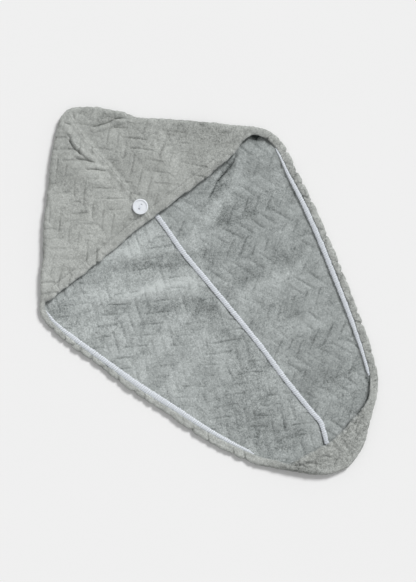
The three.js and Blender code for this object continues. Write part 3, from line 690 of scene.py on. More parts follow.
@dataclass
class FleecePanel:
    """One fleece half: bed, turned edge, hood flap, side hem and tail pocket in one wall.

    Lengths are in millimetres and grains in degrees. Lumps, patches and spots are random fields,
    each given by its strength, cell and seed. A run is from one X to another, in millimetres,
    and a line is where a change starts and ends, as shares of the towel's length. tail_worn_from
    is from one Y to another, scallop_at and rim_keys are keys as middle() has them, and
    shadow_turned is how far round the free edge, from 0 to 1.
    """

    side: Side
    ribs: Ribs
    fine: float = 1.40
    coarse: float = 3.6
    inner_bend: float = 2.0
    least_cells: int = 2
    roll_steps: int = 5
    floor_clearance: float = 0.05
    pile: Herringbone = Herringbone()
    grain: float = 71.0
    band_grain: float = 79.0
    hood_grain: float = 4.5
    first_column: float = 5.4
    relief: float = 1.15
    bed_relief: float = 1.05
    hem_relief: float = 1.1
    scallop: float = 0.8
    scallop_at: Pair = (1.5, 0.5)
    notch: float = 1.6
    hood_line: Pair = (0.300, 0.325)
    pocket_line: Pair = (0.885, 0.915)
    lumps: Layers = ((0.20, 3.4, 1.0), (0.24, 7.0, 2.0), (0.40, 15.0, 5.0))
    rough_lumps: Layers = ((0.45, 3.3, 17.0),)
    rough_more: float = 0.5
    rough_line: Pair = (0.88, 0.93)
    bed_clear: float = 0.85
    bed_clear_patches: Layers = ((0.5, 34.0, 6.0),)
    hood_clear: float = 0.60
    hood_clear_left: float = 0.24
    hood_clear_run: Pair = (-110.0, 60.0)
    hood_clear_patches: Layers = ((0.42, 44.0, 7.0),)
    tail_worn: float = 0.5
    tail_worn_from: Pair = (-200.0, -240.0)
    ridge: float = 1.0
    ridge_width: float = 3.2
    ridge_lumps: Layers = ((0.5, 5.0, 12.0), (0.5, 2.7, 13.0))
    furrow: float = 0.3
    furrow_away: float = 6.0
    furrow_width: float = 2.0
    hem_wobble: Layers = ((0.9, 13.0, 41.0), (0.6, 4.5, 42.0))
    stitch_depth: float = 0.9
    stitch_width: float = 1.3
    hem_step: float = 1.0
    # Painted light and shade over a whole half for the way its pile lies: the left half lighter, the right
    # half darker
    painted_light_left: float = 0.13
    painted_light_right: float = -0.10
    bed_blocks: float = 0.20
    block_show: float = 0.6
    block_patches: Layers = ((0.6, 52.0, 4.0),)
    hood_blocks: float = 0.10
    stray: float = 7.0
    stray_x: Layers = ((1.0, 21.0, 21.0), (0.7, 9.0, 22.0))
    stray_y: Layers = ((1.0, 23.0, 23.0), (0.7, 8.0, 24.0))
    seam_shine: float = 0.18
    seam_shine_width: float = 3.4
    rim_shine: float = 0.24
    rim_keys: Pair = (2.0, 2.6)
    rim_starts_line: Pair = (0.19, 0.27)
    rim_ends_line: Pair = (0.80, 0.90)
    fluff_patches: Layers = ((0.3, 26.0, 15.0), (0.2, 60.0, 16.0))
    bed_fluff_left: float = 1.65
    bed_fluff_right: float = 1.35
    tail_fluff: float = 1.9
    tail_fluff_line: Pair = (0.86, 0.92)
    hem_fluff: float = 1.6
    hood_fluff_left: float = 1.12
    hood_fluff_more: float = 0.30
    hood_fluff_run: Pair = (20.0, 110.0)
    hem_shadow: float = 0.9
    shadow_spots: Layers = ((0.75, 11.0, 31.0), (0.55, 4.0, 32.0))
    shadow_least: float = 0.02
    shadow_right: float = 0.25
    shadow_run: Pair = (0.0, 60.0)
    shadow_turned: Pair = (0.25, 0.55)
    flat_width: float = 0.31
    flat_length: float = 0.66
    flat_area: float = 0.113

    @property
    def name(self) -> str:
        """Name of the piece, after its side."""
        return f"fleece_{self.side.name.lower()}"

    def seam_shift(self, row: Array, x: Array, y: Array) -> Array:
        """Sideways shift that brings the ribs beside a top seam onto it.

        Args:
            row: Number of the rib.
            x: Places across, in millimetres.
            y: Places along, in millimetres.

        Returns:
            Shift at each place, in millimetres.
        """
        plan, ribs = self.ribs.plan, self.ribs
        at = plan.share_of_y(y)
        on_hood = ribs.at[row] < 0.5
        start = plan.across_x(np.where(on_hood, plan.hood_seam.rows[0][1], plan.tail_seam.rows[-1][1]))
        target = plan.across_x(np.where(on_hood, plan.hood_seam.at(at), plan.tail_seam.at(at)))
        beside = 1 - ease(0.0, plan.width * plan.seam_pull, np.abs(x - start))
        return (target - start) * beside * ribs.covered[row]

    def middle(self, row: Array, key: Array) -> Array:
        """Middle of the wall.

        Args:
            row: Number of the rib.
            key: 0 to 1 over the bed, to 2 round the turned edge, to 3 over the top.

        Returns:
            Places as rows of X, Y and Z.
        """
        plan, ribs = self.ribs.plan, self.ribs
        point = np.zeros((len(row), 3))
        bed, top = key <= 1, key > 2
        bend = ~bed & ~top
        r, share = row[bed], key[bed]
        flat = mix(ribs.root[r], ribs.turn[r], share[:, None])
        away = (1 - share) * ribs.bed_run[r]
        folds = total_height(BED_FOLDS, *flat.T) + total_height(BED_CREASES, *flat.T)
        raised = np.maximum(folds * ease(0.0, plan.edge_fade, away), 0.0) + ribs.rise(r, away)
        point[bed] = np.column_stack([flat, plan.wall / 2 + raised])
        r, angle = row[bend], math.pi * (key[bend] - 1.5)
        flat = ribs.turn[r] + ribs.normal[r] * (ribs.radius[r] * np.cos(angle))[:, None]
        point[bend] = np.column_stack([flat, plan.wall / 2 + ribs.radius[r] * (1 + np.sin(angle))])
        point[top] = self.top_middle(row[top], (key[top] - 2) * ribs.top_run[row[top]])
        point[:, 0] += self.side.value * plan.seam_joint / 2
        return point

    def top_middle(self, row: Array, run: Array) -> Array:
        """Middle of the wall over the top, at a distance from the turned edge along each rib.

        Args:
            row: Number of the rib.
            run: Distance from the turned edge, in millimetres.

        Returns:
            Places as rows of X, Y and Z.
        """
        plan, ribs = self.ribs.plan, self.ribs
        hood, tail, to_hem = ribs.hood[row], ribs.tail[row], ribs.reach[row] - run
        x, y = mix(ribs.turn[row], ribs.end[row], (run / ribs.reach[row])[:, None]).T
        more, at_x, over_x = plan.droop_more
        droop = (plan.hem_droop + more * bell(x - at_x, over_x)) * (1 - ease(0.0, plan.droop_run, to_hem))
        droop = droop * (1 - plan.droop_less * ease(*plan.droop_lessens, x))
        droop = droop * (1 - ease(*plan.droop_ends, x))
        swell = hood * (plan.hood_swell - droop) * ease(0.0, plan.hood_reach, run)
        swell = swell + tail * plan.tail_swell * ease(0.0, plan.tail_reach, run)
        loose = hood * total_height(HOOD_FOLDS, x, y) * ease(0.0, plan.edge_fade, run)
        wobble = layered_noise(x, 0 * x, self.hem_wobble)
        x = x + self.seam_shift(row, x, y)
        y = y + plan.hem_uneven * wobble * ribs.covered[row] * (1 - ease(0.0, plan.uneven_run, to_hem))
        sharp = hood * total_height(HOOD_CREASES, x, y) + tail * total_height(TAIL_CREASES, x, y)
        sharp = sharp * ease(0.0, plan.crease_fade, run) + self.seam_ridge(row, x, y)
        height = plan.wall / 2 + 2 * ribs.radius[row] + swell + loose + sharp
        return np.column_stack([x, y, height])

    def top_seam_distance(self, x: Array, y: Array) -> Array:
        """Distance from the hood's seam, or from the tail pocket's seam near the tail.

        Args:
            x: Places across, in millimetres.
            y: Places along, in millimetres.

        Returns:
            Distance of each place, in millimetres.
        """
        plan = self.ribs.plan
        at = plan.share_of_y(y)
        seam = np.where(at < 0.5, plan.hood_seam.at(at), plan.tail_seam.at(at))
        return np.abs(x - plan.across_x(seam))

    def seam_ridge(self, row: Array, x: Array, y: Array) -> Array:
        """Height of the stitched ridge and its furrow along the hood's and the pocket's seam.

        Args:
            row: Number of the rib.
            x: Places across, in millimetres.
            y: Places along, in millimetres.

        Returns:
            Height at each place, in millimetres.
        """
        away = self.top_seam_distance(x, y)
        uneven = 1.0 + layered_noise(0 * x, y, self.ridge_lumps)
        ridge = self.ridge * uneven * bell(away, self.ridge_width)
        furrow = self.furrow * bell(away - self.furrow_away, self.furrow_width)
        return (ridge - furrow) * self.ribs.covered[row]

    def band_grid(self, x: Array, y: Array, turn: float) -> tuple[Array, Array]:
        """Places across and along columns that run at an angle to the half's own X axis."""
        return turned_axes(self.side.value * x, y, turn)

    def hood_grid(self, x: Array, y: Array) -> tuple[Array, Array]:
        """Places across and along the hood's columns, counted from its seam and its hem.

        Args:
            x: Places across, in millimetres.
            y: Places along, in millimetres.

        Returns:
            The two distances of each place, in millimetres.
        """
        plan = self.ribs.plan
        from_seam = self.top_seam_distance(x, y) - self.first_column
        from_hem = y - plan.along_y(plan.hood_edge.at(2 * x / plan.width))
        return turned_axes(from_seam, from_hem, -self.hood_grain)

    def top_cover(self, y: Array) -> Array:
        """1 on the hood and the tail pocket, 0 on the side hems."""
        at = self.ribs.plan.share_of_y(y)
        return np.maximum(1 - ease(*self.hood_line, at), ease(*self.pocket_line, at))

    def clearness(self, x: Array, y: Array) -> Array:
        """How clearly the hood's bricks show: patchy, and best near the left outline.

        Args:
            x: Places across, in millimetres.
            y: Places along, in millimetres.

        Returns:
            Share of the full relief at each place.
        """
        left = 1 - ease(*self.hood_clear_run, x)
        patchy = layered_noise(x, y, self.hood_clear_patches)
        return self.hood_clear + self.hood_clear_left * left + patchy

    def pile_height(self, face: Face, point: Array, key: Array) -> Array:
        """Height of the sculpted pile over the wall's face, in millimetres.

        Args:
            face: The face of the cloth.
            point: Places on the face, in millimetres.
            key: Keys of the places, as middle() has them.

        Returns:
            Height at each place.
        """
        x, y = point[:, 0], point[:, 1]
        lumps = layered_noise(x, y, self.lumps)
        if face is Face.INNER:
            bricks = self.pile.height(*self.band_grid(x, y, self.grain))
            clear = self.bed_clear + layered_noise(x, y, self.bed_clear_patches)
            return (self.bed_relief * bricks * clear + lumps) * (key < 1.5)
        rough = np.maximum(1.0 * (key < 2.0), ease(*self.rough_line, self.ribs.plan.share_of_y(y)))
        lumps = lumps * (1 + self.rough_more * rough) + layered_noise(x, y, self.rough_lumps) * rough
        middle, width = self.scallop_at
        scalloped = self.hem_relief * (1 + self.scallop * bell(key - middle, width))
        band = scalloped * self.pile.height(*self.band_grid(x, y, self.band_grain))
        worn = 1 - self.tail_worn * ease(*self.tail_worn_from, y)
        hood = self.clearness(x, y) * self.pile.height(*self.hood_grid(x, y)) * worn
        return (self.relief * mix(band, hood, self.top_cover(y)) + lumps) * (key > 1.0)

    def paint_light_and_nap(self, face: Face, point: Array, key: Array) -> Array:
        """Painted light and shade of the pile: lit and shaded folds, creases, the mouth's corner, highlights
        on the seam and the left rim, and the way the pile lies, with random brick tone.

        Args:
            face: The face of the cloth.
            point: Places on the face, in millimetres.
            key: Keys of the places, as middle() has them.

        Returns:
            Change of shade at each place.
        """
        x, y = point[:, 0], point[:, 1]
        base = self.painted_light_left if self.side is Side.LEFT else self.painted_light_right
        if face is Face.INNER:
            bricks = self.bed_blocks * self.pile.shade(*self.band_grid(x, y, self.grain))
            astray_x = x + self.stray * layered_noise(x, y, self.stray_x)
            astray_y = y + self.stray * layered_noise(x, y, self.stray_y)
            painted_fold_light = total_height(BED_PAINTED_LIGHT_AND_NAP, astray_x, astray_y) + total_height(BED_PAINTED_CREASE_SHADE, x, y)
            return base + painted_fold_light + bricks * (self.block_show + layered_noise(x, y, self.block_patches))
        at = self.ribs.plan.share_of_y(y)
        bricks = self.hood_blocks * self.pile.shade(*self.hood_grid(x, y)) * self.clearness(x, y)
        # Painted highlight along the stitched ridge of the top seams
        seam = self.seam_shine * bell(self.top_seam_distance(x, y), self.seam_shine_width)
        # Painted highlight along the left half's outer rim, where the key light leaves it in shade
        rim = self.rim_shine * (self.side is Side.LEFT) * (1 - ease(*self.rim_keys, key))
        rim = rim * ease(*self.rim_starts_line, at) * (1 - ease(*self.rim_ends_line, at))
        return base + rim + total_height(TOP_PAINTED_LIGHT_AND_NAP, x, y) + (bricks + seam) * self.top_cover(y)

    def fluff(self, face: Face, point: Array) -> Array:
        """How rough the pile looks: patchy, most on the left half's bed and on the tail pocket.

        Args:
            face: The face of the cloth.
            point: Places on the face, in millimetres.

        Returns:
            Strength of the mottling at each place.
        """
        x, y = point[:, 0], point[:, 1]
        patchy = layered_noise(x, y, self.fluff_patches)
        if face is Face.INNER:
            return patchy + (self.bed_fluff_left if self.side is Side.LEFT else self.bed_fluff_right)
        at = self.ribs.plan.share_of_y(y)
        top = mix(self.hood_fluff_left, self.hem_fluff, ease(*self.hood_line, at))
        top = top + self.hood_fluff_more * ease(*self.hood_fluff_run, x)
        return patchy + mix(top, self.tail_fluff, ease(*self.tail_fluff_line, at))

    def painted_hem_shadow(self, point: Array, turned: Array) -> Array:
        """Painted shadow under the free edge of the hood and the pocket, in spots: how much darker the pile
        is made there.

        Args:
            point: Places on the face, in millimetres.
            turned: How far round the free edge, from 0 to 1.

        Returns:
            Change of shade at each place.
        """
        x, y = point[:, 0], point[:, 1]
        spots = self.shadow_least + layered_noise(x, y, self.shadow_spots)
        spots = np.maximum(spots + self.shadow_right * ease(*self.shadow_run, x), 0.0)
        return self.hem_shadow * spots * ease(*self.shadow_turned, turned) * self.top_cover(y)

    def columns(self, face: Face) -> list[Array]:
        """Keys of the points along each rib, closer where the face shows.

        Args:
            face: The face of the cloth.

        Returns:
            Keys of each rib.
        """
        ribs = self.ribs
        steps = (self.coarse, self.fine, self.fine)
        if face is Face.INNER:
            steps = (self.fine, self.inner_bend, self.coarse)
        keys = []
        for runs in zip(ribs.bed_run, math.pi * ribs.radius, ribs.top_run):
            counts = [max(int(run / step), self.least_cells) for run, step in zip(runs, steps)]
            parts = [start + np.arange(1, count + 1) / count for start, count in enumerate(counts)]
            keys.append(np.concatenate([[0.0], *parts]))
        return keys

    def face_points(self, face: Face, keys: list[Array]) -> tuple[Array, Array, Array]:
        """Points of one face of the cloth.

        Args:
            face: The face to make.
            keys: Keys of the points along each rib.

        Returns:
            The points, the cloth's outward directions there and the pile's heights.
        """
        plan, ribs = self.ribs.plan, self.ribs
        last = len(keys) - 1
        row = np.repeat(np.arange(len(keys)), [len(part) for part in keys])
        key = np.concatenate(keys)
        before = np.concatenate([np.concatenate([part[:1], part[:-1]]) for part in keys])
        after = np.concatenate([np.concatenate([part[1:], part[-1:]]) for part in keys])
        point = self.middle(row, key)
        over = self.middle(row, after) - self.middle(row, before)
        down = self.middle(np.minimum(row + 1, last), key) - self.middle(np.maximum(row - 1, 0), key)
        normal = np.cross(over, down) * self.side.value
        at_root = key == 0
        normal[at_root] = np.column_stack([0 * down[:, 0], -down[:, 2], down[:, 1]])[at_root]
        for edge, sign in ((0, 1.0), (last, -1.0)):
            on_edge = row == edge
            upright = np.column_stack([0 * over[:, 0], sign * over[:, 2], -sign * over[:, 1]])
            normal[on_edge] = upright[on_edge]
        normal = unit(normal)
        height = self.pile_height(face, point, key)
        to_end = (3 - key) * ribs.top_run[row] + ribs.roll[row]
        line = ribs.doubled[row]
        if face is Face.OUTER:
            stitched = bell(to_end - line, self.stitch_width) * (line > plan.least_hem) * (key > 2)
            offset = plan.wall / 2 + height - self.stitch_depth * stitched
            return point + normal * offset[:, None], normal, height
        doubled = ribs.doubling[row] * (1 - ease(line - self.hem_step, line + self.hem_step, to_end))
        offset = plan.wall / 2 + height + doubled * (key > 2)
        return point - normal * offset[:, None], normal, height

    def rolled_edge(self, point: Array, normal: Array, height: Array, ends: Array) -> tuple[Array, Array]:
        """Points round the free edge of each rib, from the outer face toward the inner.

        Args:
            point: Points of the outer face.
            normal: The cloth's outward directions at those points.
            height: Height of the pile at those points.
            ends: Numbers of the last points of the ribs.

        Returns:
            The points, roll_steps - 1 for each rib, and the pile's heights there.
        """
        up, roll = normal[ends], self.ribs.roll
        ahead = point[ends] - point[ends - 1]
        out = unit(ahead - up * np.sum(ahead * up, axis=1)[:, None])
        centre = point[ends] - up * (roll + height[ends])[:, None]
        rings, piles = [], []
        for step in range(1, self.roll_steps):
            angle = math.pi * step / self.roll_steps
            pile = self.notch * height[ends] * (1 + math.cos(angle)) / 2
            around = up * math.cos(angle) + out * math.sin(angle)
            rings.append(centre + around * (roll + pile)[:, None])
            piles.append(pile)
        return np.stack(rings, axis=1).reshape(-1, 3), np.stack(piles, axis=1).reshape(-1)

    @staticmethod
    def zip_rows(first: Array, second: Array, key_first: Array, key_second: Array) -> Array:
        """Triangles between two rows of points whose keys rise.

        Args:
            first: Numbers of the first row's points.
            second: Numbers of the second row's points.
            key_first: Keys of the first row.
            key_second: Keys of the second row.

        Returns:
            Triangles as rows of three point numbers.
        """
        steps = np.concatenate([key_first[1:], key_second[1:] + TIE])
        is_first = np.concatenate([np.ones(len(first) - 1, bool), np.zeros(len(second) - 1, bool)])
        order = np.argsort(steps, kind="stable")
        chosen = is_first[order]
        a = np.concatenate([[0], np.cumsum(chosen)[:-1]])
        b = np.concatenate([[0], np.cumsum(~chosen)[:-1]])
        next_first = first[np.minimum(a + 1, len(first) - 1)]
        next_second = second[np.minimum(b + 1, len(second) - 1)]
        return np.column_stack([first[a], second[b], np.where(chosen, next_first, next_second)])

    def build(self) -> Piece:
        """Make the closed cloth wall as one mesh, with the values that its finish reads.

        Returns:
            The piece, at the origin.
        """
        keys_out, keys_in = self.columns(Face.OUTER), self.columns(Face.INNER)
        outer, normal, height_out = self.face_points(Face.OUTER, keys_out)
        inner, _, height_in = self.face_points(Face.INNER, keys_in)
        starts_out = np.concatenate([[0], np.cumsum([len(k) for k in keys_out])])
        starts_in = np.concatenate([[0], np.cumsum([len(k) for k in keys_in])])
        rolled, height_roll = self.rolled_edge(outer, normal, height_out, starts_out[1:] - 1)
        steps = self.roll_steps - 1
        base_in = len(outer) + len(rolled)
        rows_out, rows_in, zip_out = [], [], []
        for i, keys in enumerate(keys_out):
            roll = len(outer) + np.arange(i * steps, (i + 1) * steps)
            rows_out.append(np.concatenate([np.arange(starts_out[i], starts_out[i + 1]), roll]))
            zip_out.append(np.concatenate([keys, 3 + np.arange(1, steps + 1) / self.roll_steps]))
            rows_in.append(base_in + np.arange(starts_in[i], starts_in[i + 1]))
        parts = []
        for i in range(len(keys_out) - 1):
            parts.append(self.zip_rows(rows_out[i], rows_out[i + 1], zip_out[i], zip_out[i + 1]))
            parts.append(self.zip_rows(rows_in[i], rows_in[i + 1], keys_in[i], keys_in[i + 1])[:, ::-1])
            a, b, c, d = rows_out[i][0], rows_in[i][0], rows_in[i + 1][0], rows_out[i + 1][0]
            e, f, g, h = rows_out[i][-1], rows_out[i + 1][-1], rows_in[i + 1][-1], rows_in[i][-1]
            parts.append(np.array([[a, b, c], [a, c, d], [e, f, g], [e, g, h]]))
        smooth = sum(len(part) for part in parts)
        parts.append(self.zip_rows(rows_out[0], rows_in[0], zip_out[0], keys_in[0])[:, ::-1])
        parts.append(self.zip_rows(rows_out[-1], rows_in[-1], zip_out[-1], keys_in[-1]))
        faces = np.concatenate(parts)
        points = np.concatenate([outer, rolled, inner])
        points[:, 2] = np.maximum(points[:, 2], self.floor_clearance)
        piece = mesh_piece(self.name, points, outward(points, faces))
        piece.data.polygons.foreach_set("use_smooth", [number < smooth for number in range(len(faces))])
        turned = np.tile(np.arange(1, self.roll_steps) / self.roll_steps, len(keys_out))
        # Painted light and shade for each face, with the painted shadow under the free edge taken off the
        # roll
        painted_light_out = self.paint_light_and_nap(Face.OUTER, outer, np.concatenate(keys_out))
        painted_light_roll = self.paint_light_and_nap(Face.OUTER, rolled, np.full(len(rolled), 3.0))
        painted_light_in = self.paint_light_and_nap(Face.INNER, inner, np.concatenate(keys_in))
        shown = ((Face.OUTER, outer), (Face.OUTER, rolled), (Face.INNER, inner))
        layers = {
            "pile": [height_out, height_roll, height_in],
            "nap": [painted_light_out, painted_light_roll - self.painted_hem_shadow(rolled, turned), painted_light_in],
            "inside": [np.zeros(len(outer)), turned, np.ones(len(inner))],
            "fluff": [self.fluff(face, part) for face, part in shown],
        }
        for name, values in layers.items():
            layer = piece.data.attributes.new(name, "FLOAT", "POINT")
            layer.data.foreach_set("value", np.concatenate(values).astype(np.float32))
        return piece


def outward(points: Array, faces: Array) -> Array:
    """Triangles of a closed mesh, turned so that they face outwards.

    Args:
        points: Rows of X, Y and Z.
        faces: Rows of three point numbers.

    Returns:
        The same triangles, or all of them turned round.
    """
    a, b, c = (points[faces[:, k]] for k in range(3))
    volume = np.sum(a * np.cross(b, c))
    return faces if volume > 0 else faces[:, ::-1]


def mesh_piece(name: str, points: Array, faces: Array) -> Piece:
    """Make a smooth piece from points in millimetres and faces.

    Args:
        name: Name of the piece.
        points: Rows of X, Y and Z.
        faces: Rows of point numbers.

    Returns:
        The new object, at the origin.
    """
    mesh = bpy.data.meshes.new(name)
    mesh.from_pydata((points * MM).tolist(), [], faces.tolist())
    mesh.validate()
    mesh.polygons.foreach_set("use_smooth", [True] * len(mesh.polygons))
    mesh.update()
    piece = bpy.data.objects.new(name, mesh)
    bpy.context.scene.collection.objects.link(piece)
    return piece


def clear_selection() -> None:
    """Select nothing, so that an operator acts on what it adds alone."""
    if bpy.context.object and bpy.context.object.mode != "OBJECT":
        bpy.ops.object.mode_set(mode="OBJECT")
    bpy.ops.object.select_all(action="DESELECT")


def select_only(*pieces: Piece) -> None:
    """Select the given pieces and nothing else, the first one active.

    Args:
        pieces: The pieces to select.
    """
    clear_selection()
    for piece in pieces:
        piece.select_set(True)
    bpy.context.view_layer.objects.active = pieces[0]


def pick(piece: Piece, kind: Pick, wanted: Callable[[Vector, Vector], bool]) -> None:
    """Go into edit mode with the faces or the edges selected that pass a test.

    Args:
        piece: The piece.
        kind: What is picked.
        wanted: Test of a face's centre and normal, or of an edge's two ends.
    """
    select_only(piece)
    bpy.ops.object.mode_set(mode="EDIT")
    bpy.ops.mesh.select_mode(type=kind.value)
    bpy.ops.mesh.select_all(action="DESELECT")
    bpy.ops.object.mode_set(mode="OBJECT")
    corners = piece.data.vertices
    if kind is Pick.FACE:
        for polygon in piece.data.polygons:
            polygon.select = wanted(polygon.center, polygon.normal)
    else:
        for edge in piece.data.edges:
            edge.select = wanted(*(corners[number].co for number in edge.vertices))
    bpy.ops.object.mode_set(mode="EDIT")


def settle(piece: Piece) -> None:
    """Apply a piece's place, turn and scale to its mesh."""
    select_only(piece)
    bpy.ops.object.transform_apply(location=True, rotation=True, scale=True)


def tube_piece(name: str, path: list[Triple], radius: float) -> Piece:
    """Make a round thread or cord along a path.

    Args:
        name: Name of the piece.
        path: Places in millimetres.
        radius: Half of the thread's diameter, in millimetres.

    Returns:
        The thread as a mesh at the origin.
    """
    clear_selection()
    bpy.ops.curve.primitive_nurbs_path_add(radius=1.0, location=(0.0, 0.0, 0.0))
    piece = bpy.context.object
    piece.name = name
    shape = piece.data
    shape.splines.clear()
    spline = shape.splines.new("NURBS")
    spline.points.add(len(path) - 1)
    for point, place in zip(spline.points, path):
        point.co = (*(coordinate * MM for coordinate in place), 1.0)
    spline.order_u = 4
    spline.use_endpoint_u = True
    spline.resolution_u = 6
    shape.bevel_depth = radius * MM
    shape.bevel_resolution = 3
    shape.use_fill_caps = True
    select_only(piece)
    bpy.ops.object.convert(target="MESH")
    piece = bpy.context.object
    piece.data.name = name
    bpy.ops.object.shade_smooth()
    return piece


@dataclass
class StitchPattern:
    """One stitch modelled once, then laid many times along a path as one mesh."""

    name: str

    def arch(self, thickness: float) -> tuple[Array, Array]:
        """Half ring that spans from X -0.5 to 0.5 and rises to Z 0.5.

        Args:
            thickness: Diameter of the thread as a share of the span.

        Returns:
            Points and faces of the half ring.
        """
        clear_selection()
        bpy.ops.mesh.primitive_torus_add(
            major_radius=0.5, minor_radius=thickness / 2, major_segments=12, minor_segments=5
        )
        ring = bpy.context.object
        bpy.ops.object.mode_set(mode="EDIT")
        bpy.ops.mesh.select_all(action="SELECT")
        bpy.ops.mesh.bisect(plane_co=(0, 0, 0), plane_no=(0, 1, 0), clear_inner=True)
        bpy.ops.object.mode_set(mode="OBJECT")
        points, faces = self.take(ring)
        return np.column_stack([points[:, 0], -points[:, 2], points[:, 1]]), faces

    def bead(self) -> tuple[Array, Array]:
        """Small rounded stitch from X -0.5 to 0.5.

        Returns:
            Points and faces of the stitch.
        """
        clear_selection()
        bpy.ops.mesh.primitive_uv_sphere_add(segments=8, ring_count=6, radius=0.5)
        ball = bpy.context.object
        bpy.ops.object.mode_set(mode="EDIT")
        bpy.ops.mesh.select_all(action="SELECT")
        bpy.ops.transform.rotate(value=math.pi / 2, orient_axis="Y", center_override=(0, 0, 0))
        bpy.ops.object.mode_set(mode="OBJECT")
        return self.take(ball)

    @staticmethod
    def take(piece: Piece) -> tuple[Array, Array]:
        """Read a modelled stitch's points and triangles, and remove its object.

        Args:
            piece: The piece.

        Returns:
            Points and faces of the stitch.
        """
        mesh = piece.data
        mesh.calc_loop_triangles()
        points = np.array([corner.co[:] for corner in mesh.vertices])
        faces = np.array([triangle.vertices[:] for triangle in mesh.loop_triangles])
        bpy.data.objects.remove(piece)
        return points, faces

    def lay(self, stitch: tuple[Array, Array], frames: list[tuple[Array, Array, Array, Array]]) -> Piece:
        """Copy a stitch to many places.

        Args:
            stitch: Points and faces of the stitch.
            frames: Place, and what the stitch's X, Y and Z become there, in millimetres.

        Returns:
            All of the stitches as one piece.
        """
        shape, triangles = stitch
        points, faces = [], []
        for number, (place, x_to, y_to, z_to) in enumerate(frames):
            points.append(place + shape[:, :1] * x_to + shape[:, 1:2] * y_to + shape[:, 2:] * z_to)
            faces.append(triangles + number * len(shape))
        return mesh_piece(self.name, np.concatenate(points), np.concatenate(faces))


@dataclass
class OverlockedTape:
    """An overlocked raw edge: a soft strip with threads wrapped over it, close together.

    The strip's middle and half sizes are shares of the tape's width and height, its lumps are
    a random field's strength, cell and seed, and each spread belongs to the value before it.
    """

    name: str
    base: Array
    over: Array
    width: Array
    height: float = PLAN.tape_height
    strip_step: float = 2.0
    strip_ring: int = 10
    strip_middle: Pair = (0.5, 0.30)
    strip_half: Pair = (0.46, 0.24)
    strip_lumps: Layers = ((0.10, 5.0, 11.0),)
    wrap_every: float = 2.9
    wrap_thread: float = 1.0
    wrap_thickness: float = 0.16
    wrap_apart: Pair = (0.56, 0.12)
    wrap_span: Pair = (0.9, 0.07)
    wrap_height: Pair = (1.0, 0.06)
    wrap_rise: float = 1.35
    wrap_lift: float = 0.15
    slant: float = 1.3

    def resample(self, spacing: float) -> tuple[Array, Array, Array, Array]:
        """Even steps along the tape.

        Args:
            spacing: Distance between steps, in millimetres.

        Returns:
            Base places, directions across, directions along and widths.
        """
        travelled = travel(self.base)
        wanted = np.arange(0.0, travelled[-1], spacing)
        base = rows_at(wanted, travelled, self.base)
        over = unit(rows_at(wanted, travelled, self.over))
        along = unit(np.gradient(base, axis=0))
        return base, over, along, np.interp(wanted, travelled, self.width)

    def strip(self) -> Piece:
        """The soft cloth edge under the threads.

        Returns:
            The strip, at the origin.
        """
        base, over, _, width = self.resample(self.strip_step)
        ring = self.strip_ring
        angles = 2 * math.pi * np.arange(ring) / ring
        across = self.strip_middle[0] + self.strip_half[0] * np.cos(angles)
        points = []
        for place, side, wide in zip(base, over, width):
            lump = 1 + layered_noise(place[:1], place[1:2], self.strip_lumps)[0]
            up = self.strip_middle[1] + self.strip_half[1] * np.sin(angles) * lump
            section = place + side * (across * wide)[:, None]
            section[:, 2] += up * self.height
            points.append(section)
        index = np.arange(len(points) * ring).reshape(len(points), ring)
        following = np.roll(index, -1, axis=1)
        quads = np.stack([index[:-1], following[:-1], following[1:], index[1:]], axis=2).reshape(-1, 4)
        caps = [[index[0, 0], index[0, k + 1], index[0, k]] for k in range(1, ring - 1)]
        caps += [[index[-1, 0], index[-1, k], index[-1, k + 1]] for k in range(1, ring - 1)]
        faces = np.concatenate([quads[:, [0, 1, 2]], quads[:, [0, 2, 3]], np.array(caps)])
        points = np.concatenate(points)
        return mesh_piece(self.name, points, outward(points, faces))

    def wraps(self) -> Piece:
        """The threads that wrap the edge.

        Returns:
            The threads as one piece, at the origin.
        """
        pattern = StitchPattern(f"{self.name}_threads")
        stitch = pattern.arch(self.wrap_thickness)
        apart, astray = self.wrap_apart
        frames = []
        rng = np.random.default_rng(len(self.name))
        for place, side, ahead, wide in zip(*self.resample(self.wrap_every)):
            for aside in (-apart, apart):
                middle = place + side * wide / 2 + ahead * (aside + rng.normal(0.0, astray))
                middle[2] += self.wrap_lift
                x_to = side * wide * rng.normal(*self.wrap_span) + ahead * self.slant
                rise = self.wrap_rise * self.height * rng.normal(*self.wrap_height)
                y_to = ahead * self.wrap_thread / self.wrap_thickness
                frames.append((middle, x_to, y_to, np.array([0.0, 0.0, rise])))
        return pattern.lay(stitch, frames)


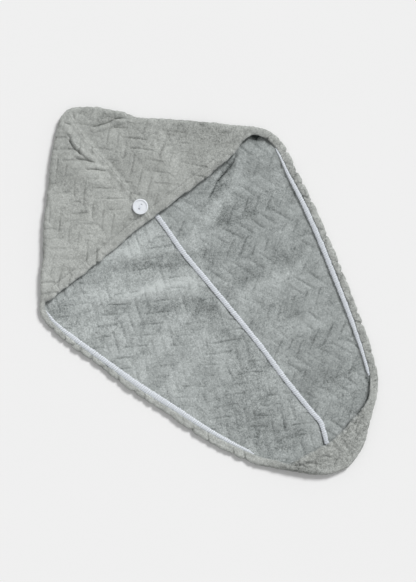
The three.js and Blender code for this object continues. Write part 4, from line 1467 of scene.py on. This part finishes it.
@dataclass
class TapeSet:
    """The three overlocked tapes: the centre seam's and one for each side hem."""

    left: Ribs
    right: Ribs
    plan: TowelPlan = PLAN
    tip: float = 0.014
    centre_tip: float = 0.01
    centre_samples: int = 260
    tip_width: float = 0.55
    tuck_left: float = 0.9
    tuck_right: float = 0.2

    def bed_height(self, x: Array, y: Array, away: Array) -> Array:
        """Height of the bed's upper face at a distance from the turned edge.

        Args:
            x: Places across, in millimetres.
            y: Places along, in millimetres.
            away: Distance from the turned edge, in millimetres.

        Returns:
            Height at each place, in millimetres.
        """
        fade = ease(0.0, self.plan.edge_fade, away)
        loose = total_height(BED_FOLDS, x, y) + total_height(BED_CREASES, x, y)
        return self.plan.wall + np.maximum(loose * fade, 0.0)

    def narrowing(self, at: Array, start: float, stop: float, tip: float) -> Array:
        """Share of the tape's full width, narrower at its two tips."""
        narrow = np.minimum(ease(start, start + tip, at), 1 - ease(stop - tip, stop, at))
        return mix(self.tip_width, 1.0, narrow)

    def hem(self, ribs: Ribs) -> OverlockedTape:
        """Overlocked edge beside one side hem.

        Args:
            ribs: The half's ribs.

        Returns:
            The tape, where it shows.
        """
        plan, right = self.plan, ribs.side is Side.RIGHT
        sign = ribs.side.value
        start, stop = plan.shows_right if right else plan.shows_left
        shows = (ribs.at >= start) & (ribs.at <= stop)
        edge = unit(np.gradient(ribs.end, axis=0))
        over = sign * np.column_stack([edge[:, 1], -edge[:, 0], np.zeros(len(edge))])
        tuck = self.tuck_right if right else self.tuck_left
        base = ribs.end + over[:, :2] * (plan.seam_clearance - tuck)
        base[:, 0] += sign * plan.seam_clearance / 2
        away = np.linalg.norm(base - ribs.turn, axis=1)
        z = self.bed_height(base[:, 0], base[:, 1], away) + plan.rest_clearance
        z = z + ribs.rise(np.arange(len(ribs.at)), ribs.reach + ribs.tape / 2)
        width = ribs.tape * self.narrowing(ribs.at, start, stop, self.tip)
        places = np.column_stack([base, z])[shows]
        return OverlockedTape(f"hem_edge_{ribs.side.name.lower()}", places, over[shows], width[shows])

    def centre(self) -> OverlockedTape:
        """Overlocked allowance of the centre seam, lying on the right half.

        Returns:
            The tape.
        """
        plan = self.plan
        at = np.linspace(*plan.tape_run, self.centre_samples)
        width = plan.tape_width * self.narrowing(at, *plan.tape_run, self.centre_tip)
        x = plan.across_x(plan.bed_tape.at(at)) - width / 2
        y = plan.along_y(at)
        lift = plan.tape_lift.at(at) * plan.tape_height
        z = self.bed_height(x, y, np.full(len(at), plan.width / 2)) + plan.rest_clearance + lift
        over = np.tile([1.0, 0.0, 0.0], (len(at), 1))
        return OverlockedTape("centre_seam_edge", np.column_stack([x, y, z]), over, width)


@dataclass
class HemStitching:
    """The topstitch line that holds the doubled hems of the hood and the tail pocket."""

    panel: FleecePanel
    first: float = 2.0
    every: float = 4.2
    length: float = 3.0
    thread: float = 0.9
    sunk: float = 0.75

    def build(self) -> Piece:
        """Lay the stitches along the inner line of both doubled hems.

        Returns:
            The stitches as one piece, at the origin.
        """
        ribs = self.panel.ribs
        rows = np.nonzero(ribs.doubled > ribs.plan.least_hem)[0]
        share = (ribs.reach[rows] - ribs.doubled[rows]) / ribs.top_run[rows]
        line = self.panel.middle(rows, 2 + np.clip(share, 0.0, 1.0))
        line[:, 2] += ribs.plan.wall / 2 - self.sunk
        pattern = StitchPattern(f"hem_stitches_{self.panel.side.name.lower()}")
        stitch = pattern.bead()
        frames = []
        for run in np.split(np.arange(len(rows)), np.nonzero(np.diff(rows) > 1)[0] + 1):
            frames += self.along(line[run])
        return pattern.lay(stitch, frames)

    def along(self, line: Array) -> list[tuple[Array, Array, Array, Array]]:
        """Places of the stitches along one line.

        Args:
            line: Places along the line, in millimetres.

        Returns:
            Place, and what the stitch's X, Y and Z become there, for each stitch.
        """
        travelled = travel(line)
        frames = []
        for start in np.arange(self.first, travelled[-1] - self.every, self.every):
            ends = rows_at(np.array([start, start + self.length]), travelled, line)
            ahead = ends[1] - ends[0]
            aside = np.cross([0.0, 0.0, 1.0], ahead / np.linalg.norm(ahead)) * self.thread
            frames.append((sum(ends) / 2, ahead, aside, np.array([0.0, 0.0, self.thread])))
        return frames


@dataclass
class ButtonSet:
    """The dished button with two holes on the hood's seam, and its thread."""

    diameter: float = 21.0
    height: float = 3.2
    rim: float = 2.2
    dish: float = 0.9
    dish_slope: float = 0.9
    dish_step: float = 0.5
    soft: float = 0.9
    set_in: float = 22.0
    hole: float = 2.4
    hole_spacing: float = 6.0
    hole_turn: float = 24.0
    thread: float = 0.75
    strand_apart: float = 0.62
    strand_end: float = 0.3
    strand_dip: float = 0.7
    strand_turn: float = 0.08
    strand_crown: float = 0.12
    near: float = 0.01
    upward: float = 0.99
    plan: TowelPlan = PLAN
    place: Triple = field(init=False)

    def __post_init__(self) -> None:
        """Find the button's foot on the hood."""
        plan = self.plan
        seam = plan.hood_seam.rows[-1][1]
        y = float(plan.along_y(plan.hood_edge.at(np.array(seam)))) + self.set_in
        x = float(plan.across_x(plan.hood_seam.at(np.array(plan.share_of_y(y)))))
        z = 2 * plan.wall + plan.hood_gap + plan.hood_swell + plan.seam_clearance
        self.place = (x, y, z)

    def holes(self) -> list[Pair]:
        """Centres of the two holes.

        Returns:
            X and Y of each, in millimetres.
        """
        x, y, _ = self.place
        turn = math.radians(self.hole_turn)
        half = self.hole_spacing / 2
        return [(x + end * half * math.cos(turn), y + end * half * math.sin(turn)) for end in (-1, 1)]

    def body(self) -> Piece:
        """Turned disc with a raised rim, a dished middle and two holes.

        Returns:
            The disc, at the origin.
        """
        x, y, z = (coordinate * MM for coordinate in self.place)
        height = self.height * MM
        clear_selection()
        bpy.ops.mesh.primitive_cylinder_add(
            vertices=96, radius=self.diameter / 2 * MM, depth=height, location=(x, y, z + height / 2)
        )
        disc = bpy.context.object
        disc.name = "button_disc"
        settle(disc)
        near = self.near * MM
        pick(disc, Pick.EDGE, lambda a, b: abs(a.z - b.z) < near)
        bpy.ops.mesh.bevel(offset=self.soft * MM, segments=5, profile=0.6, affect="EDGES")
        pick(disc, Pick.FACE, lambda centre, normal: normal.z > self.upward and centre.z > z + height - near)
        bpy.ops.mesh.inset(thickness=(self.rim - self.soft) * MM)
        bpy.ops.mesh.inset(thickness=self.dish * self.dish_slope * MM)
        bpy.ops.transform.translate(value=(0.0, 0.0, -self.dish * MM))
        bpy.ops.mesh.inset(thickness=self.dish_step * MM)
        bpy.ops.object.mode_set(mode="OBJECT")
        for hole_x, hole_y in self.holes():
            self.drill(disc, hole_x * MM, hole_y * MM, z)
        select_only(disc)
        bpy.ops.object.shade_smooth_by_angle(angle=math.radians(40))
        return disc

    def drill(self, disc: Piece, x: float, y: float, z: float) -> None:
        """Cut one hole through the disc.

        Args:
            disc: The button's disc.
            x: X of the hole, in metres.
            y: Y of the hole, in metres.
            z: Height of the disc's foot, in metres.
        """
        clear_selection()
        bpy.ops.mesh.primitive_cylinder_add(
            vertices=24, radius=self.hole / 2 * MM, depth=4 * self.height * MM, location=(x, y, z)
        )
        bit = bpy.context.object
        settle(bit)
        cut = disc.modifiers.new("hole", "BOOLEAN")
        cut.operation = "DIFFERENCE"
        cut.solver = "EXACT"
        cut.object = bit
        select_only(disc)
        bpy.ops.object.modifier_apply(modifier=cut.name)
        bpy.data.objects.remove(bit)

    def sewing(self) -> Piece:
        """Strands of thread that go through both holes and lie over the dish.

        Returns:
            The strands as one piece, at the origin.
        """
        foot = self.place[2]
        low = foot + self.strand_end
        over = foot + self.height - self.dish + self.plan.seam_clearance + self.thread / 2
        dip, turn = over - self.strand_dip, self.strand_turn
        shares = ((0.0, low), (0.0, dip), (turn, over), (0.5, over + self.strand_crown))
        shares += ((1 - turn, over), (1.0, dip), (1.0, low))
        (ax, ay), (bx, by) = self.holes()
        length = math.hypot(bx - ax, by - ay)
        side_x, side_y = -(by - ay) / length, (bx - ax) / length
        strands = []
        for number, aside in enumerate((-self.strand_apart, 0.0, self.strand_apart)):
            path = [
                (mix(ax, bx, share) + side_x * aside, mix(ay, by, share) + side_y * aside, height)
                for share, height in shares
            ]
            strands.append(tube_piece(f"strand_{number}", path, self.thread / 2))
        select_only(*strands)
        bpy.ops.object.join()
        sewing = bpy.context.object
        sewing.name = "button_sewing"
        return sewing


@dataclass
class ElasticLoop:
    """The elastic cord loop that lies in the tail pocket."""

    cord: float = 2.2
    length: float = 25.0
    width: float = 17.0
    pinch: float = 0.55
    belly: float = 0.8
    bend_steps: int = 8
    clearance: float = 1.0
    plan: TowelPlan = PLAN

    def build(self) -> Piece:
        """Bend the cord into its loop, ends toward the tail's seam.

        Returns:
            The cord, at the origin.
        """
        plan = self.plan
        middle = float(plan.across_x(plan.right_edge[-1][1]))
        z = plan.wall + plan.rest_clearance + self.cord / 2
        reach = (self.width - self.cord) / 2
        bend = float(plan.along_y(plan.tape_run[1])) - self.clearance - self.cord / 2 - reach
        foot = bend + reach + self.cord / 2 - self.length
        leg = [(reach * self.pinch, foot), (reach * self.belly, (foot + bend) / 2)]
        angles = [math.pi * (1 - step / self.bend_steps) for step in range(self.bend_steps + 1)]
        path = [(middle - out, y, z) for out, y in leg]
        path += [(middle + reach * math.cos(turn), bend + reach * math.sin(turn), z) for turn in angles]
        path += [(middle + out, y, z) for out, y in reversed(leg)]
        return tube_piece("elastic_cord", path, self.cord / 2)


@dataclass(frozen=True)
class Colour:
    """A linear colour."""

    red: float
    green: float
    blue: float

    def rgba(self) -> tuple[float, float, float, float]:
        """The colour with full cover."""
        return (self.red, self.green, self.blue, 1.0)

    def shaded(self, shade: float) -> "Colour":
        """The colour, made lighter or darker."""
        return Colour(self.red * shade, self.green * shade, self.blue * shade)


@dataclass(frozen=True)
class NodeSheet:
    """A material being built from nodes."""

    material: bpy.types.Material

    @classmethod
    def new(cls, name: str) -> "NodeSheet":
        """Start a material with a plain surface shader.

        Args:
            name: Name of the material.

        Returns:
            The material, to be built on.
        """
        material = bpy.data.materials.new(name)
        material.use_nodes = True
        return cls(material)

    @property
    def surface(self) -> bpy.types.Node:
        """The material's surface shader."""
        return self.material.node_tree.nodes["Principled BSDF"]

    def add(self, kind: str, **values: object) -> bpy.types.Node:
        """Add a node and set its properties, or its inputs where it has no such property.

        Args:
            kind: Kind of the node.
            values: Values by name, with _ for each space.

        Returns:
            The new node.
        """
        node = self.material.node_tree.nodes.new(kind)
        for name, value in values.items():
            if hasattr(node, name):
                setattr(node, name, value)
            else:
                node.inputs[name.replace("_", " ")].default_value = value
        return node

    def link(self, source: Socket, target: Socket) -> None:
        """Join two sockets."""
        self.material.node_tree.links.new(source, target)

    def drive(self, name: str, source: Socket) -> None:
        """Lead a value to one of the surface shader's sockets."""
        self.link(source, self.surface.inputs[name])

    def finish(self, **values: object) -> None:
        """Set the surface shader's own sockets, with _ for each space in their names."""
        for name, value in values.items():
            self.surface.inputs[name.replace("_", " ")].default_value = value

    def noise(self, scale: float, detail: float = 2.0, roughness: float = 0.5) -> Socket:
        """Noise over the piece's own coordinates, with cells of 1 / scale metres.

        Args:
            scale: Cells per metre.
            detail: How many finer noises are added.
            roughness: Strength of the finer noises.

        Returns:
            The noise's value.
        """
        place = self.add("ShaderNodeTexCoord")
        texture = self.add("ShaderNodeTexNoise", Scale=scale, Detail=detail, Roughness=roughness)
        self.link(place.outputs["Object"], texture.inputs["Vector"])
        return texture.outputs["Fac"]

    def spread(self, source: Socket, source_range: Pair, to_range: Pair = (0.0, 1.0)) -> Socket:
        """Map a value from one range to another, clamped.

        Args:
            source: Where the value comes from.
            source_range: Range of the value.
            to_range: Range that it is mapped to.

        Returns:
            The mapped value.
        """
        remap = self.add("ShaderNodeMapRange")
        remap.clamp = True
        for name, value in zip(("From Min", "From Max", "To Min", "To Max"), (*source_range, *to_range)):
            remap.inputs[name].default_value = value
        self.link(source, remap.inputs["Value"])
        return remap.outputs["Result"]

    def combine(self, how: str, first: Socket, second: Socket | float) -> Socket:
        """Do sums on two values.

        Args:
            how: The sum to do.
            first: The first one.
            second: The second one.

        Returns:
            The result.
        """
        sums = self.add("ShaderNodeMath", operation=how)
        self.link(first, sums.inputs[0])
        if isinstance(second, float):
            sums.inputs[1].default_value = second
        else:
            self.link(second, sums.inputs[1])
        return sums.outputs[0]

    def blend(self, share: Socket, first: Colour | Socket, second: Colour | Socket) -> Socket:
        """Colour between two others.

        Args:
            share: Share of the second one.
            first: The first one.
            second: The second one.

        Returns:
            The colour.
        """
        mixer = self.add("ShaderNodeMix", data_type="RGBA")
        for socket, colour in ((mixer.inputs[6], first), (mixer.inputs[7], second)):
            if isinstance(colour, Colour):
                socket.default_value = colour.rgba()
            else:
                self.link(colour, socket)
        self.link(share, mixer.inputs[0])
        return mixer.outputs[2]

    def tint(self, share: Socket, darkest: float, colour: Colour) -> None:
        """Colour the surface, from a darker shade of a colour up to the colour itself."""
        self.drive("Base Color", self.blend(share, colour.shaded(darkest), colour))

    def bump(self, height: Socket, strength: float, depth: float) -> None:
        """Add fine relief to the surface.

        Args:
            height: The relief's height.
            strength: Strength of the relief.
            depth: Depth of the relief, in metres.
        """
        relief = self.add("ShaderNodeBump", Strength=strength, Distance=depth)
        self.link(height, relief.inputs["Height"])
        self.drive("Normal", relief.outputs["Normal"])


@dataclass(frozen=True)
class Fleece:
    """Short dense pile: matt, with a faint sheen, mottled where it lies over, and with painted shade that
    darkens the grooves down to the root colours.

    Each row of mottles has a noise's scale, detail and roughness, and how much it lightens or
    darkens the pile: broad patches, clumps, tufts and specks.
    """

    tip: Colour = Colour(0.560, 0.580, 0.556)
    # The root colours are painted shade: the dark that the grooves are coloured down to
    root: Colour = Colour(0.045, 0.049, 0.044)
    tip_inside: Colour = Colour(0.545, 0.580, 0.574)
    root_inside: Colour = Colour(0.038, 0.047, 0.045)
    shade_range: Pair = (-0.45, 1.75)
    pile_range: Pair = (-1.5, 0.25)
    pile_shade: Pair = (0.46, 1.06)
    mottles: tuple[tuple[float, float, float, float], ...] = (
        (34.0, 3.0, 0.55, 0.06),
        (95.0, 3.0, 0.65, 0.17),
        (380.0, 3.0, 0.65, 0.22),
        (820.0, 2.0, 0.6, 0.25),
    )
    sheen: float = 0.22
    sheen_shade: float = 1.4
    fur_coarse: Triple = (430.0, 3.0, 0.65)
    fur_fine: Triple = (950.0, 2.0, 0.6)
    fur_fine_share: float = 0.9

    def mottling(self, sheet: NodeSheet) -> Socket:
        """Uneven light and dark of the pile, from hand-sized patches down to single tufts.

        Args:
            sheet: The material being built.

        Returns:
            The sum of all mottles.
        """
        broad, clumps, tufts, specks = (
            sheet.spread(sheet.noise(*look), NOISE_RANGE, (-strength, strength))
            for *look, strength in self.mottles
        )
        return sheet.combine("ADD", sheet.combine("ADD", broad, clumps), sheet.combine("ADD", tufts, specks))

    def material(self) -> bpy.types.Material:
        """Build the fleece.

        Returns:
            The material.
        """
        sheet = NodeSheet.new("fleece_pile")
        pile, nap, inside, fluff = (
            sheet.add("ShaderNodeAttribute", attribute_name=name).outputs["Fac"]
            for name in ("pile", "nap", "inside", "fluff")
        )
        # Painted shade: the lower the pile, the nearer its colour comes to the dark root colour
        raised = sheet.spread(pile, self.pile_range, self.pile_shade)
        uneven = sheet.combine("MULTIPLY", self.mottling(sheet), fluff)
        share = sheet.combine("ADD", sheet.combine("ADD", raised, nap), uneven)
        share = sheet.spread(share, self.shade_range)
        outer = sheet.blend(share, self.root, self.tip)
        inner = sheet.blend(share, self.root_inside, self.tip_inside)
        sheet.drive("Base Color", sheet.blend(inside, outer, inner))
        sheet.finish(Roughness=0.95, Specular_IOR_Level=0.15, Sheen_Weight=self.sheen, Sheen_Roughness=0.55)
        sheet.finish(Sheen_Tint=self.tip.shaded(self.sheen_shade).rgba())
        fine = sheet.combine("MULTIPLY", sheet.noise(*self.fur_fine), self.fur_fine_share)
        sheet.bump(sheet.combine("ADD", sheet.noise(*self.fur_coarse), fine), strength=0.8, depth=0.0012)
        return sheet.material


@dataclass(frozen=True)
class Thread:
    """Matt spun thread, with faint strands and fuzz, each a noise's scale, detail and roughness."""

    name: str
    colour: Colour
    darkest: float = 0.72
    strands: Triple = (900.0, 3.0, 0.6)
    fuzz: Triple = (1800.0, 3.0, 0.6)

    def material(self) -> bpy.types.Material:
        """Build the thread.

        Returns:
            The material.
        """
        sheet = NodeSheet.new(self.name)
        sheet.tint(sheet.spread(sheet.noise(*self.strands), NOISE_RANGE), self.darkest, self.colour)
        sheet.finish(Roughness=0.8, Specular_IOR_Level=0.25, Sheen_Weight=0.15)
        sheet.bump(sheet.noise(*self.fuzz), strength=0.5, depth=0.0005)
        return sheet.material


@dataclass(frozen=True)
class GlossPlastic:
    """Smooth white button plastic with fine handling marks."""

    colour: Colour = Colour(0.80, 0.83, 0.87)
    darkest: float = 0.93
    roughness: Pair = (0.20, 0.32)
    clouds: float = 140.0
    marks: Pair = (420.0, 3.0)
    ripple: float = 700.0

    def material(self) -> bpy.types.Material:
        """Build the plastic.

        Returns:
            The material.
        """
        sheet = NodeSheet.new("button_plastic_gloss")
        sheet.tint(sheet.spread(sheet.noise(self.clouds), NOISE_RANGE), self.darkest, self.colour)
        sheet.drive("Roughness", sheet.spread(sheet.noise(*self.marks), NOISE_RANGE, self.roughness))
        sheet.finish(Coat_Weight=0.3, Coat_Roughness=0.12)
        sheet.bump(sheet.noise(self.ripple), strength=0.08, depth=0.0002)
        return sheet.material


@dataclass(frozen=True)
class BraidedElastic:
    """Elastic cord with a braided cover."""

    colour: Colour = Colour(0.60, 0.62, 0.61)
    darkest: float = 0.7
    braid: float = 900.0
    waver: float = 1.2

    def material(self) -> bpy.types.Material:
        """Build the braid from two slanted sets of ribs.

        Returns:
            The material.
        """
        sheet = NodeSheet.new("elastic_braid")
        place = sheet.add("ShaderNodeTexCoord")
        ribs = []
        for direction in ("X", "Y"):
            wave = sheet.add("ShaderNodeTexWave", Scale=self.braid, Distortion=self.waver)
            wave.bands_direction = direction
            sheet.link(place.outputs["Object"], wave.inputs["Vector"])
            ribs.append(wave.outputs["Fac"])
        braid = sheet.combine("MAXIMUM", *ribs)
        sheet.tint(braid, self.darkest, self.colour)
        sheet.finish(Roughness=0.85)
        sheet.bump(braid, strength=0.6, depth=0.0004)
        return sheet.material


@dataclass(frozen=True)
class PaleFloor:
    """Plain pale studio floor."""

    colour: Colour = Colour(0.86, 0.86, 0.86)
    darkest: float = 0.995
    grain: float = 6.0

    def material(self) -> bpy.types.Material:
        """Build the floor's finish.

        Returns:
            The material.
        """
        sheet = NodeSheet.new("studio_floor")
        sheet.tint(sheet.spread(sheet.noise(self.grain), NOISE_RANGE), self.darkest, self.colour)
        sheet.finish(Roughness=0.9, Specular_IOR_Level=0.1)
        return sheet.material


@dataclass
class Studio:
    """Camera straight above the towel, soft light and a pale floor."""

    distance: float = 3.2
    frame_height: float = PHOTO_HEIGHT * MM_PER_PIXEL * MM
    sensor: float = 36.0
    far: float = 50.0
    centre: Pair = (-0.0003, -0.003)
    turn: float = -37.4
    key_power: float = 2.55
    key_height: float = 42.0
    key_heading: float = 14.0
    key_softness: float = 16.0
    fill: float = 0.47
    floor_size: float = 8.0
    floor_drop: float = 0.0004

    def camera(self) -> None:
        """Set up the camera."""
        data = bpy.data.cameras.new("camera")
        data.sensor_fit = "VERTICAL"
        data.sensor_height = self.sensor
        data.lens = self.sensor * self.distance / self.frame_height
        data.clip_end = self.far
        camera = bpy.data.objects.new("camera", data)
        camera.location = (*self.centre, self.distance)
        camera.rotation_euler = (0.0, 0.0, math.radians(self.turn))
        bpy.context.scene.collection.objects.link(camera)
        bpy.context.scene.camera = camera

    def lights(self) -> None:
        """Set up a soft key light from the right half's side and an even fill."""
        sun = bpy.data.lights.new("key", "SUN")
        sun.energy = self.key_power
        sun.angle = math.radians(self.key_softness)
        key = bpy.data.objects.new("key", sun)
        tilt, heading = math.radians(90 - self.key_height), math.radians(self.key_heading)
        flat = math.sin(tilt)
        towards = Vector((math.cos(heading) * flat, math.sin(heading) * flat, math.cos(tilt)))
        key.rotation_euler = towards.to_track_quat("Z", "Y").to_euler()
        bpy.context.scene.collection.objects.link(key)
        world = bpy.data.worlds.new("studio")
        world.use_nodes = True
        background = world.node_tree.nodes["Background"]
        background.inputs["Color"].default_value = (1.0, 1.0, 1.0, 1.0)
        background.inputs["Strength"].default_value = self.fill
        bpy.context.scene.world = world
        bpy.context.scene.view_settings.view_transform = "Standard"

    def floor(self) -> None:
        """Lay the floor."""
        clear_selection()
        bpy.ops.mesh.primitive_plane_add(size=self.floor_size, location=(0.0, 0.0, -self.floor_drop))
        floor = bpy.context.object
        floor.name = "studio_floor"
        settle(floor)
        floor.data.materials.append(PaleFloor().material())


def dress(piece: Piece, material: bpy.types.Material, slot: str, *nodes: str) -> None:
    """Give a piece its finish and its place in the frame, and report it.

    Args:
        piece: The piece.
        material: Its finish.
        slot: Material slot that the finish belongs to; not used.
        nodes: The CAD nodes that the piece stands for.
    """
    piece.data.materials.clear()
    piece.data.materials.append(material)
    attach(piece, "root")
    if nodes:
        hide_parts(*nodes)
    LOG.info("%s: %d faces", piece.name, len(piece.data.polygons))


def build_towel() -> None:
    """Build and dress every piece of the towel."""
    ribs = {side: Ribs(side) for side in Side}
    fleece = Fleece().material()
    overlock = Thread("overlock_white", Colour(0.86, 0.90, 0.96), darkest=0.82).material()
    raw_edge = Thread("raw_edge", Colour(0.64, 0.67, 0.69), darkest=0.70).material()
    topstitch = Thread("topstitch_grey", Colour(0.30, 0.31, 0.30)).material()
    tapes = TapeSet(ribs[Side.LEFT], ribs[Side.RIGHT])
    edges = {
        "centre_seam_tape": tapes.centre(),
        "hem_tape_left": tapes.hem(tapes.left),
        "hem_tape_right": tapes.hem(tapes.right),
    }
    trims = []
    for node, tape in edges.items():
        strip, wraps = tape.strip(), tape.wraps()
        dress(strip, raw_edge, "overlock_thread", node)
        dress(wraps, overlock, "overlock_thread")
        trims.append((strip, wraps))
    for side in Side:
        panel = FleecePanel(side, ribs[side])
        piece = panel.build()
        dress(piece, fleece, "fleece", f"panel_{side.name.lower()}")
        stitches = HemStitching(panel).build()
        dress(stitches, topstitch, "overlock_thread")
        with_pieces = [stitches, *trims[1 if side is Side.LEFT else 2]]
        with_pieces += list(trims[0]) if side is Side.RIGHT else []
    button = ButtonSet()
    dress(button.body(), GlossPlastic().material(), "button_plastic", "button")
    dress(button.sewing(), overlock, "overlock_thread", "button_thread")
    dress(ElasticLoop().build(), BraidedElastic().material(), "elastic", "elastic_loop")


def main() -> None:
    """Build the towel and its studio."""
    logging.basicConfig(level=logging.INFO, format="%(name)s %(message)s")
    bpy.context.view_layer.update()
    studio = Studio()
    studio.camera()
    studio.lights()
    studio.floor()
    build_towel()


if __name__ == "__main__":
    main()
